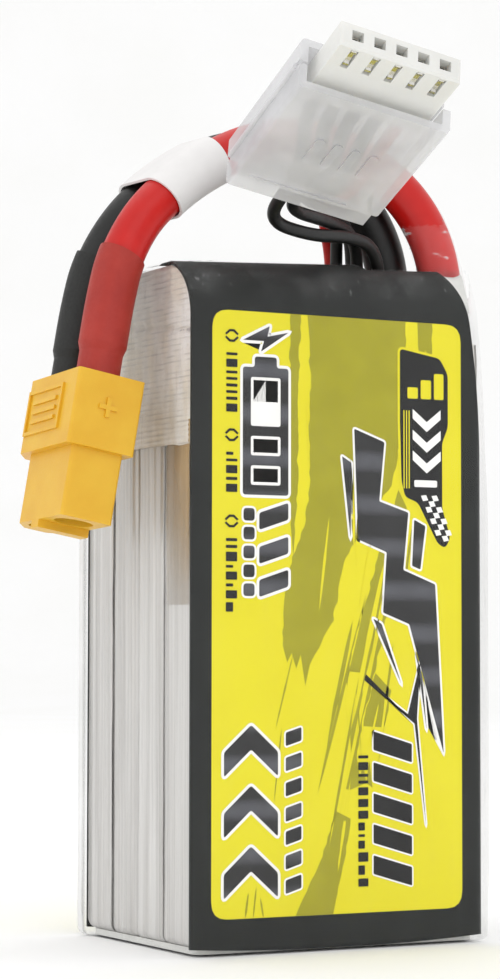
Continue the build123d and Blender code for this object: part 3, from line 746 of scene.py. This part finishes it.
def pouch_profile(y_mid, seam):
    """A cell's outline across its width, with a folded seam lying on each side, going round once."""
    low, high = y_mid - CELL_HALF_T, y_mid + CELL_HALF_T
    side = []
    arc = [math.pi / 2 * i / EDGE_ROUND_STEPS for i in range(EDGE_ROUND_STEPS + 1)]
    r = CELL_EDGE_R
    for a in arc:
        side.append((-CELL_SIDE + r - r * math.sin(a), low + r - r * math.cos(a)))
    seam_low, seam_high = seam
    side.append((-CELL_SIDE, min(seam_low, low + r) + 0.05))
    for i in range(SEAM_STEPS + 1):
        y = seam_low + (seam_high - seam_low) * i / SEAM_STEPS
        edge = min(1.0, min(i, SEAM_STEPS - i) / SEAM_ROLL)
        crease = 0.05 * math.sin(i * 2.1 + y_mid) + 0.04 * math.sin(i * 0.9 + 2 * y_mid)
        side.append((-CELL_SIDE - edge * (SEAM_T + crease), y))
    for a in arc:
        side.append((-CELL_SIDE + r - r * math.cos(a), high - r + r * math.sin(a)))
    return side + [(-x, y) for x, y in reversed(side)]


def corner_drop(rise, radius):
    """How far a rounded lower corner has turned in at a height above the cell's base."""
    if rise >= radius:
        return 0.0
    return radius - math.sqrt(radius ** 2 - (radius - rise) ** 2)


def pouch_cell(number):
    y_mid = (number - 1.5) * CELL_PITCH
    outline = pouch_profile(y_mid, SEAMS[number])
    verts = []
    body = CELL_TOP_Z - CELL_BASE_Z - 2 * END_ROUND
    heights = [CELL_BASE_Z + rise for rise in END_RISES]
    heights += [CELL_BASE_Z + END_ROUND + body * i / BODY_ROWS for i in range(1, BODY_ROWS + 1)]
    heights += [CELL_TOP_Z - END_CLOSER, CELL_TOP_Z]
    for z in heights:
        rise = z - CELL_BASE_Z
        top_pull = 1 - 0.05 * (1 - ramp(CELL_TOP_Z - z, -0.3, 2.2))
        x_pull = 1 - corner_drop(rise, SIDE_CORNER_R) / CELL_SIDE
        low, high = y_mid - CELL_HALF_T, y_mid + CELL_HALF_T
        if number == 0:
            low += corner_drop(rise, FRONT_CORNER_R)
        if number == 3:
            high -= corner_drop(rise, BACK_CORNER_R)
        for x, y in outline:
            bow = 0.1 * rough(0, y, z, 9, number) * ramp(abs(x), 16, CELL_SIDE)
            fold = 0.0 if abs(x) < CELL_SIDE else 0.05 * rough(y * 4, 0, z, 14, 3 + number)
            y_in = min(max(y, low + 0.004 * (y - y_mid)), high + 0.004 * (y - y_mid))
            verts.append((x * x_pull + math.copysign(bow + fold, x), y_mid + (y_in - y_mid) * top_pull, z))
    cell = add_mesh(f"pouch_cell_{number + 1}", verts, capped_faces(len(heights), len(outline)), POUCH)
    on_pack(cell, "pouch_foil", f"cell_{number + 1}")


for number in range(4):
    pouch_cell(number)


# ---- sheets wrapped round the pack
TOP_EDGE_R = 7.0
TOP_CORNER_R = 1.0
BASE_EDGE_R = 0.9
# how far the film pulls the right front edge in, as (height, distance)
RIGHT_EDGE = (
    (0.0, 0.3), (9.0, 0.0), (50.0, 0.0), (57.0, 0.35), (63.0, 0.6), (68.0, 0.95), (75.0, 1.6), (79.5, 2.0),
)
# where a sheet sinks between the seams on the two sides, as (place along Y, depth, half width)
GROOVES = ((1.15, 0.42, 0.95), (-6.4, 0.16, 0.8), (6.7, 0.14, 0.9), (-13.2, 0.3, 0.9), (13.4, 0.2, 0.8))
SLOPE_FROM_Z = (56, 71)  # the heights over which the top's slope is taken up
FOLD_START_Z = 60  # above these heights the sheets stand clear of the cells
FOLD_END_Z = 74


def fillet_drop(z, radius, inset):
    """How far a rounded top edge has turned in at height z."""
    start = PACK_H - radius
    if z <= start:
        return 0.0
    r = max(radius - inset, 0.05)
    return r - math.sqrt(max(0.0, r * r - min(z - start, r) ** 2))


def section(z, inset):
    """The wrapped pack's outline at height z, every face moved in by inset: low x, high x, low y, high y."""
    base = max(0.0, BASE_EDGE_R - max(z, 0.0))
    base_in = BASE_EDGE_R - math.sqrt(max(0.0, BASE_EDGE_R ** 2 - base ** 2))
    half_w = PACK_W / 2 - inset - fillet_drop(z, TOP_CORNER_R, inset) - base_in
    half_d = PACK_D / 2 - inset - fillet_drop(z, TOP_EDGE_R, inset) - base_in
    return -half_w, half_w, -half_d, half_d


def slope_drop(x, z):
    """How far the top slopes down to the left, taken up gradually below the fold."""
    return (PACK_H - PACK_LEFT_H) * (PACK_W / 2 - x) / PACK_W * ramp(z, *SLOPE_FROM_Z)


def drawn_in(x, y, z):
    """How far the film pulls the pack's right front edge in."""
    share = ramp(-y, 9.0, 14.6) * ramp(x, 14.0, 19.0)
    for (z0, a), (z1, b) in zip(RIGHT_EDGE, RIGHT_EDGE[1:]):
        if z <= z1:
            return share * part_way(a, b, (z - z0) / (z1 - z0))
    return share * RIGHT_EDGE[-1][1]


FRONT_STEPS = 44
SIDE_STEPS = 64
CORNER_STEPS = 3
CORNER_R = 0.3


def outline_at(z, inset, shrink=0.0):
    """Points round the outline as (x, y, side), anticlockwise from the front left."""
    x0, x1, y0, y1 = section(z, inset)
    x0, x1, y0, y1 = x0 + shrink, x1 - shrink, y0 + shrink, y1 - shrink
    r = CORNER_R
    made = []
    runs = (
        ("front", (x0 + r, y0), (x1 - r, y0), FRONT_STEPS), ("right", (x1, y0 + r), (x1, y1 - r), SIDE_STEPS),
        ("back", (x1 - r, y1), (x0 + r, y1), FRONT_STEPS), ("left", (x0, y1 - r), (x0, y0 + r), SIDE_STEPS),
    )
    corners_at = ((x1 - r, y0 + r, -90), (x1 - r, y1 - r, 0), (x0 + r, y1 - r, 90), (x0 + r, y0 + r, 180))
    for (side, start, end, steps), (cx, cy, first) in zip(runs, corners_at):
        for i in range(steps + 1):
            made.append((part_way(start[0], end[0], i / steps), part_way(start[1], end[1], i / steps), side))
        for i in range(1, CORNER_STEPS):
            a = math.radians(first + 90 * i / CORNER_STEPS)
            made.append((cx + r * math.cos(a), cy + r * math.sin(a), "corner"))
    return made


AWAY = {"front": (0, -1), "right": (1, 0), "back": (0, 1), "left": (-1, 0), "corner": (0, 0)}


def side_relief(y, z, side):
    """How far a sheet over the stacked cells' edges sinks between them, and swells over them."""
    if side not in ("left", "right"):
        return 0.0
    fade = 1 - ramp(z, FOLD_START_Z, FOLD_END_Z)
    sink = sum(depth * mound(y, place, half_width) for place, depth, half_width in GROOVES)
    swell = 0.08 * math.sin((y + 2 * CELL_PITCH) * math.pi / CELL_PITCH) ** 2
    return swell - sink * fade


def wrapped_sheet(name, heights, inset, displace, material, slot, nodes, lips, keep, thickness, low_lips=()):
    """A sleeve round the pack, with the faces that keep lets through.

    displace gives how far a point is pushed out and lifted. lips and low_lips turn the two ends in by those
    distances.
    """
    rows = [(heights[0], d) for d in reversed(low_lips)]
    rows += [(z, 0.0) for z in heights]
    rows += [(heights[-1], d) for d in lips]
    verts = []
    for z, turned in rows:
        for x, y, side in outline_at(z, inset, turned):
            out, lift = displace(x, y, z, side, turned)
            dx, dy = AWAY[side]
            verts.append((x + dx * out - drawn_in(x, y, z), y + dy * out, z + lift - slope_drop(x, z)))
    faces = grid_faces(len(rows), len(verts) // len(rows), closed=True)
    faces = [face for face in faces if keep(*middle_of([verts[i] for i in face]))]
    sheet = add_mesh(name, verts, faces, material)
    thicken(sheet, thickness)
    loose = bmesh.new()
    loose.from_mesh(sheet.data)
    bmesh.ops.delete(loose, geom=[v for v in loose.verts if not v.link_faces], context="VERTS")
    loose.to_mesh(sheet.data)
    loose.free()
    on_pack(sheet, slot, *nodes)


def clear_film():
    s = Shader("clear_film", Roughness=0.12, Specular_IOR_Level=0.8)
    streaks = s.noise(0.5, stretch=(1, 1, 14), detail=4, distortion=0.4)
    haze = s.noise(3.5, stretch=(1, 1, 2.5), detail=3)
    s.link(s.mix(s.remap(haze, 0.3, 0.7), rgb("F0F0EF"), rgb("FFFFFF")), "Base Color")
    shine = s.math("ADD", s.remap(streaks, 0.62, 0.8, 0.0, 0.12), s.remap(haze, 0.45, 0.75, 0.0, 0.02))
    # fainter over the labels, whiter at the right side as a painted sheen where the film turns edge-on, and
    # denser along the doubled back left edge
    sides = s.remap(s.math("ABSOLUTE", s.axis("Y")), 13.9 * MM, 14.4 * MM, 1.0, 0.08)
    edge = s.math("ADD", s.remap(s.axis("X"), 17.9 * MM, 19.4 * MM, 0.0, 0.16), 0.012)
    at_back = s.remap(s.axis("Y"), 13.2 * MM, 13.7 * MM)
    at_left = s.remap(s.axis("X"), -18.4 * MM, -19.2 * MM)
    doubled = s.math("MULTIPLY", at_back, at_left)
    edge = s.math("ADD", edge, s.math("MULTIPLY", doubled, 0.78))
    s.link(s.math("ADD", s.math("MULTIPLY", shine, sides), edge), "Alpha")
    s.link(s.bump(haze, 0.05, under=s.bump(streaks, 0.02)), "Normal")
    return s.material


FILM = clear_film()


def film_shape(x, y, z, side, turned):
    """Shrink film's swells and crumples: gentle along the sides, sharp where it turns in at the ends."""
    low = 1 - ramp(z, 0.5, 9.0)
    high = ramp(z, 70, 79)
    out = side_relief(y, z, side) * 0.9
    if side in ("left", "right"):
        folds = abs(rough(0, y, z * 0.16, 1.5, 5)) * 0.5 + abs(rough(0, y, z * 0.3, 0.8, 9)) * 0.25
        out += low * (folds - 0.12) + 0.06 * rough(0, y, z * 0.2, 2.2, 2)
        out += high * 0.25 * rough(0, y, z, 2.0, 6)
    elif side == "back":
        out += low * 0.1 * abs(rough(x, 0, z * 0.2, 1.5, 8))
    lift = 0.0
    if turned:
        crumple = 0.35 * rough(x, y, 0, 1.6, 12) + 0.2 * rough(x, y, 0, 0.8, 13)
        if z > PACK_H / 2:
            lift = (crumple + 0.15) * min(1.0, turned / 1.5)
        else:
            lift = 0.12 * min(1.0, turned) * abs(crumple)
    return out, lift


# close rows at the crumpled foot and round the upper edge, wider ones between
film_heights = [0.0, 0.15, 0.35, 0.6, 0.9]
film_heights += [0.9 + 0.6 * i for i in range(1, 21)]
film_heights += [12.9 + 1.9 * i for i in range(1, 31)]
film_heights += [71.2, 72.4, 73.4, 74.4, 75.3, 76.1, 76.9, 77.5, 78.0, 78.5, 78.9, 79.2, 79.4, 79.5]
# the opening for the leads, running out to the right
NOTCH_X = 4.4
NOTCH_Y = (-11.6, 3.6)
NOTCH_Z = 75.5


def clear_of_notch(x, y, z):
    return not (z > NOTCH_Z and x > NOTCH_X and NOTCH_Y[0] < y < NOTCH_Y[1])


wrapped_sheet(
    "shrink_film", film_heights, 0.0, film_shape, FILM, "clear_film", ["shrink_wrap"],
    lips=(0.5, 1.1, 1.8, 2.6, 3.4), keep=clear_of_notch, thickness=0.045,
    low_lips=(0.4, 0.9, 1.6, 2.4, 3.4, 4.6),
)


# ---- filament tape round the upper end
TAPE_LOW = 56.6
TAPE_ROWS = 143
TAPE_ROW_H = 0.155
TAPE_TOP = 78.8
FILAMENT_PITCH = 0.62
FOLD_AT = 72.6  # a crease across the tape, where it starts to turn in
FOLD_LEAN = 0.12


def filament_tape():
    s = Shader("filament_tape", Specular_IOR_Level=0.5)
    wave = s.math("SINE", s.math("MULTIPLY", s.axis("Z"), math.tau / (FILAMENT_PITCH * MM)))
    breaks = s.remap(s.noise(1.1, stretch=(1, 2.5, 0.5)), 0.4, 0.62)
    broken = s.math("MULTIPLY", s.remap(wave, 0.1, 1.0), breaks)
    stain = s.remap(s.noise(4.0, stretch=(1, 0.7, 2.2), detail=2), 0.42, 0.66, 0.0, 0.55)
    tone = s.mix(stain, rgb("FBF9F5"), rgb("E6DAC3"))
    # painted shade: the tape turns darker towards the back
    tone = s.mix(s.remap(s.axis("Y"), -13.5 * MM, -4.0 * MM, 0.0, 0.35), tone, rgb("E4D9C6"))
    tone = s.mix(s.math("MULTIPLY", broken, 0.6), tone, rgb("C4BFB8"))
    s.link(tone, "Base Color")
    s.link(s.remap(s.noise(1.5), 0.3, 0.7, 0.28, 0.5), "Roughness")
    s.link(s.remap(s.noise(2.4, stretch=(1, 0.6, 1.8)), 0.3, 0.7, 0.82, 0.95), "Alpha")
    s.link(s.bump(wave, 0.03, under=s.bump(s.noise(0.9), 0.08)), "Normal")
    return s.material


TAPE = filament_tape()


def tape_shape(x, y, z, side, turned):
    """The tape's ribs and dents, the crease across its sides, and its uneven lower edge."""
    out = side_relief(y, z, side) * 0.55
    ribs = 0.022 * math.sin(math.tau * z / FILAMENT_PITCH)
    if side in ("left", "right"):
        out += ribs + 0.09 * rough(0, y, z, 3.0, 21) + 0.05 * rough(0, y * 1.6, z, 1.4, 22)
        out -= 0.3 * mound(z, FOLD_AT + FOLD_LEAN * y, 0.7)
        out += 0.22 * mound(y, -9.2, 1.0) * ramp(z, 62, 70)
    lift = 0.0
    if turned:
        lift = 0.12 * rough(x, y, 0, 2.2, 23)
    elif z < TAPE_LOW + 0.2:
        lift = 0.35 * rough(0, y, 0, 3.5, 24) + (0.25 * (y + 4) / 14 if side == "left" else 0.0)
    return out, lift


tape_heights = [TAPE_LOW + TAPE_ROW_H * i for i in range(TAPE_ROWS)] + [TAPE_TOP]


def clear_of_leads(x, y, z):
    """The tape leaves out the leads' opening and the right front corner beside it."""
    beside_leads = -11.2 < y < 3.2
    in_corner = x > 12.0 and y < -9.0
    return not (z > CELL_TOP_Z and x > 5.0 and (beside_leads or in_corner))


wrapped_sheet(
    "filament_tape_wrap", tape_heights, 0.56, tape_shape, TAPE, "filament_tape", ["strapping_tape"],
    lips=(0.6, 1.4, 2.4, 3.6, 5.0, 6.6, 7.6), keep=clear_of_leads, thickness=0.1,
)


# ---- amber strip on the left side, under the film
def amber_film():
    s = Shader("amber_film", Roughness=0.3, Specular_IOR_Level=0.6)
    tone = s.remap(s.noise(3.0, stretch=(1, 1, 4)), 0.35, 0.65)
    s.link(s.mix(tone, rgb("C2A06A"), rgb("CFB285")), "Base Color")
    lower = s.remap(s.axis("Z"), 40 * MM, 54 * MM, 0.12, 0.78)
    inner = s.remap(s.axis("Y"), -12.6 * MM, -8.6 * MM, 1.0, 0.45)
    streaky = s.remap(s.noise(1.2, stretch=(1, 1, 8)), 0.3, 0.7, 0.8, 1.0)
    s.link(s.math("MULTIPLY", s.math("MULTIPLY", lower, inner), streaky), "Alpha")
    s.link(s.bump(s.noise(1.5, stretch=(1, 1, 6)), 0.04), "Normal")
    return s.material


STRIP_X = -18.93
STRIP_Y, STRIP_W = -13.1, 5.6
STRIP_Z, STRIP_H = 38.6, 20.6
STRIP_ROWS, STRIP_COLUMNS = 40, 14
strip_verts = []
for row in range(STRIP_ROWS):
    z = STRIP_Z + STRIP_H * row / (STRIP_ROWS - 1)
    for column in range(STRIP_COLUMNS):
        y = STRIP_Y + STRIP_W * column / (STRIP_COLUMNS - 1)
        strip_verts.append((STRIP_X - 0.05 * rough(0, y, z, 3, 31), y + 0.12 * rough(0, 0, z, 5, 32), z))
strip = add_mesh("amber_strip", strip_verts, grid_faces(STRIP_ROWS, STRIP_COLUMNS), amber_film())
thicken(strip, 0.05, offset=0.0)
on_pack(strip, "amber_film", "kapton_strip")


# ---- foam cap under the film, round the leads' notch
FOAM_INSET = 0.76
FOAM_HEIGHTS = (73.15, 74.5, 75.6, 76.5, 77.3, 77.9, 78.3, 78.5)
FOAM_NOTCH = (4.9, -11.3, 3.3)  # its left edge, and its front and back edges
FOAM_STEPS = 8


def foam_loop(z):
    """The cap's outline at height z, a C open to the right."""
    x0, x1, y0, y1 = section(z, FOAM_INSET)
    left, front, back = FOAM_NOTCH
    front = max(front, y0 + 0.02)
    turns = [(x0, y0), (x1, y0), (x1, front), (left, front), (left, back), (x1, back), (x1, y1), (x0, y1)]
    loop = []
    for (ax, ay), (bx, by) in zip(turns, turns[1:] + turns[:1]):
        for i in range(FOAM_STEPS):
            x, y = part_way(ax, bx, i / FOAM_STEPS), part_way(ay, by, i / FOAM_STEPS)
            loop.append((x - drawn_in(x, y, z), y, z - slope_drop(x, z) + 0.05 * rough(x, y, z, 1.5, 61)))
    return loop


foam_verts = [point for z in FOAM_HEIGHTS for point in foam_loop(z)]
foam_faces = capped_faces(len(FOAM_HEIGHTS), len(foam_verts) // len(FOAM_HEIGHTS))
foam_cap = add_mesh("foam_cap", foam_verts, foam_faces, WHITE_FOAM)
on_pack(foam_cap, "white_foam", "top_foam")


# ---- film drawn up round the red lead's foot
COLLAR_POINTS = [Vector(point) for point in RED_ROUTE[:6]]
COLLAR_ROWS = 12  # for each of its bends
COLLAR_COLUMNS = 36
COLLAR_R = 2.6
COLLAR_FLARE = 0.5
COLLAR_TOP = 83.6
COLLAR_RISE = 3.6  # how much higher it ends on the lead's outer side


def collar_film():
    s = Shader("collar_film", Roughness=0.1, Specular_IOR_Level=1.0)
    crinkle = s.noise(1.7, stretch=(1.1, 1.1, 0.5), detail=1.0)
    s.link(s.mix(s.remap(crinkle, 0.35, 0.6), rgb("F2DCD9"), rgb("FFFFFF")), "Base Color")
    # painted glints: the film shows, whiter and denser, only where its crinkles are highest
    s.link(s.remap(crinkle, 0.64, 0.8, 0.03, 0.6, smooth=True), "Alpha")
    s.link(s.bump(crinkle, 0.1), "Normal")
    return s.material


def collar_centre():
    """Points along the lead's foot with the way that it runs there."""
    made = []
    for before, here, after in zip(COLLAR_POINTS, COLLAR_POINTS[1:], COLLAR_POINTS[2:]):
        start, end = (before + here) / 2, (here + after) / 2
        for i in range(COLLAR_ROWS):
            t = i / COLLAR_ROWS
            place = start * (1 - t) ** 2 + here * (2 * t * (1 - t)) + end * t * t
            way = (here - start) * (1 - t) + (end - here) * t
            made.append((place, way.normalized()))
    return made


collar_verts = []
for place, way in collar_centre():
    across = Vector((0, 1, 0)).cross(way).normalized()
    other = way.cross(across)
    for column in range(COLLAR_COLUMNS):
        a = math.tau * column / COLLAR_COLUMNS
        side = math.cos(a)
        wrinkle = 0.06 * rough(2.2 * side, 2.2 * math.sin(a), place.z, 1.6, 71)
        flare = COLLAR_FLARE * (1 - ramp(place.z, 75.0, 81.5)) * (0.15 + 0.85 * max(0.0, side))
        radius = COLLAR_R + max(wrinkle, -0.04) + flare
        collar_verts.append(place + across * (radius * side) + other * (radius * math.sin(a)))
collar_rows = len(collar_verts) // COLLAR_COLUMNS


def in_collar(face):
    z = middle_of([collar_verts[i] for i in face])[2]
    side = math.cos(math.tau * (face[0] % COLLAR_COLUMNS) / COLLAR_COLUMNS)
    return z < COLLAR_TOP + COLLAR_RISE * max(0.0, side) ** 2


collar_faces = [face for face in grid_faces(collar_rows, COLLAR_COLUMNS, closed=True) if in_collar(face)]
used = sorted({i for face in collar_faces for i in face})
renumbered = {old: new for new, old in enumerate(used)}
collar_faces = [tuple(renumbered[i] for i in face) for face in collar_faces]
collar = add_mesh("film_collar", [collar_verts[i] for i in used], collar_faces, collar_film())
thicken(collar, 0.04, offset=1.0)
on_pack(collar, "clear_film")


# ---- frosted clip
def frosted(name, low, high):
    s = Shader(name, Specular_IOR_Level=0.5)
    cloud = s.noise(7.0, detail=2)
    fine = s.noise(0.22, detail=3)
    s.link(s.mix(s.remap(cloud, 0.35, 0.65), rgb("DADADC"), rgb("E6E6E8")), "Base Color")
    s.link(s.remap(fine, 0.3, 0.7, 0.34, 0.5), "Roughness")
    s.link(s.remap(cloud, 0.3, 0.7, low, high), "Alpha")
    s.link(s.bump(fine, 0.01, under=s.bump(cloud, 0.03)), "Normal")
    return s.material


FROSTED = frosted("frosted_clip", 0.46, 0.56)
FROSTED_THICK = frosted("frosted_hinge", 0.6, 0.75)


# ---- spring lances in the balance plug's windows
LANCE_X = (-5.0, -2.5, 0.0, 2.5, 5.0)
LANCE_HALF_W = 0.3
LANCE_ACROSS = (-1, -0.3, 0.3, 1)  # its columns, as shares of its half width
# each lance's profile: how deep it lies and how far along the plug
LANCE_PROFILE = (
    (-0.8, 2.85), (-1.0, 3.0), (-1.28, 3.15), (-1.3, 3.45), (-1.06, 3.6),
    (-1.0, 4.2), (-1.02, 4.9), (-1.22, 5.1), (-1.26, 5.35), (-1.0, 5.55),
)
lance_verts, lance_faces = [], []
for way in LANCE_X:
    first = len(lance_verts)
    lance_verts += [clip(way + side * LANCE_HALF_W, y, z) for y, z in LANCE_PROFILE for side in LANCE_ACROSS]
    lance = grid_faces(len(LANCE_PROFILE), len(LANCE_ACROSS))
    lance_faces += [tuple(i + first for i in face) for face in lance]
lances = add_mesh("plug_lances", lance_verts, lance_faces, TIN_PLATE, smooth=False)
thicken(lances, 0.08, offset=0.0)
on_pack(lances, "tin_plate")


# ---- finishes of the CAD nodes kept as they are
NODE_FINISHES = {
    "clip_base": FROSTED, "clip_lid": FROSTED, "clip_hinge": FROSTED_THICK,
    "cell_pad_1": GREY_FOAM, "cell_pad_2": GREY_FOAM, "cell_pad_3": GREY_FOAM,
    "aluminium_tabs": ALUMINIUM, "nickel_tabs": NICKEL, "tab_board": BOARD, "solder_joints": SOLDER,
    "board_insulator": FISH_PAPER, "bottom_pad": WHITE_FOAM,
    "front_label": CARD, "back_label": CARD,
    "red_heat_shrink": RED_SHRINK, "black_heat_shrink": BLACK_SHRINK, "lead_sleeve": WHITE_SLEEVE,
    "connector_housing": YELLOW_NYLON, "positive_contact": GOLD_PLATE, "negative_contact": GOLD_PLATE,
    "balance_plug": WHITE_NYLON, "balance_contacts": TIN_PLATE,
}
for node, material in NODE_FINISHES.items():
    paint(NODES[node], material)


# ---- camera, light and floor
CAMERA_AT = Vector((-156.68, -282.706, 33.439)) * MM
CAMERA_YAW = 0.494509
CAMERA_PITCH = 0.059106
CAMERA_ROLL = 0.001405
SENSOR = 36.0
LENS = 100.68

camera = new_object("camera", bpy.data.cameras.new("camera"))
camera.data.sensor_fit = "AUTO"
camera.data.sensor_width = SENSOR
camera.data.lens = LENS
camera.data.clip_start = 0.01
camera.data.clip_end = 10.0
camera.location = CAMERA_AT
turn = Matrix.Rotation(-CAMERA_YAW, 4, "Z") @ Matrix.Rotation(math.pi / 2 + CAMERA_PITCH, 4, "X")
camera.rotation_euler = (turn @ Matrix.Rotation(CAMERA_ROLL, 4, "Z")).to_euler()
bpy.context.scene.camera = camera


CENTRE = (0, 0, 0.05)
WORLD_STRENGTH = 0.95


def area_light(name, place, size, watts):
    """A white lamp, turned to the middle of the pack. Places and sizes of lamps are in metres."""
    lamp = new_object(name, bpy.data.lights.new(name, "AREA"))
    lamp.data.shape = "RECTANGLE"
    lamp.data.size, lamp.data.size_y = size
    lamp.data.energy = watts
    lamp.location = place
    lamp.rotation_euler = (Vector(CENTRE) - Vector(place)).to_track_quat("-Z", "Y").to_euler()


area_light("key_light", (-0.15, -0.75, 0.55), (0.7, 0.7), 0.8)
area_light("left_light", (-0.8, -0.05, 0.25), (0.5, 0.8), 0.7)
area_light("right_light", (0.75, -0.35, 0.3), (0.5, 0.7), 0.4)
area_light("top_light", (0.0, 0.15, 0.8), (0.7, 0.7), 0.8)

world = bpy.data.worlds.new("studio")
bpy.context.scene.world = world
world.use_nodes = True
world.node_tree.nodes["Background"].inputs["Color"].default_value = (1, 1, 1, 1)
world.node_tree.nodes["Background"].inputs["Strength"].default_value = WORLD_STRENGTH
bpy.context.scene.view_settings.view_transform = "Standard"

# the floor, in metres: it curves up into a wall behind the pack
SWEEP_FRONT = -2.5
SWEEP_BACK = 1.2
SWEEP_R = 0.5
SWEEP_STEPS = 16
SWEEP_TOP = 2.5
SWEEP_HALF_W = 3.0
FLOOR_GAP = 0.0001
profile = [(SWEEP_FRONT, 0.0)]
for i in range(SWEEP_STEPS + 1):
    a = math.pi / 2 * i / SWEEP_STEPS
    profile.append((SWEEP_BACK + SWEEP_R * math.sin(a), SWEEP_R - SWEEP_R * math.cos(a)))
profile.append((SWEEP_BACK + SWEEP_R, SWEEP_TOP))
sweep = bmesh.new()
rows = [
    [sweep.verts.new((side, y, z - FLOOR_GAP)) for side in (-SWEEP_HALF_W, SWEEP_HALF_W)] for y, z in profile
]
for low, high in zip(rows, rows[1:]):
    sweep.faces.new((low[0], low[1], high[1], high[0])).smooth = True
floor_mesh = bpy.data.meshes.new("floor")
sweep.to_mesh(floor_mesh)
sweep.free()
floor = new_object("floor", floor_mesh)
floor.rotation_euler = (0, 0, -CAMERA_YAW)
paint(floor, plain("floor", "FDFDFC", "FFFFFF", 0.9, grain=2.0, depth=0.01, patch=80))
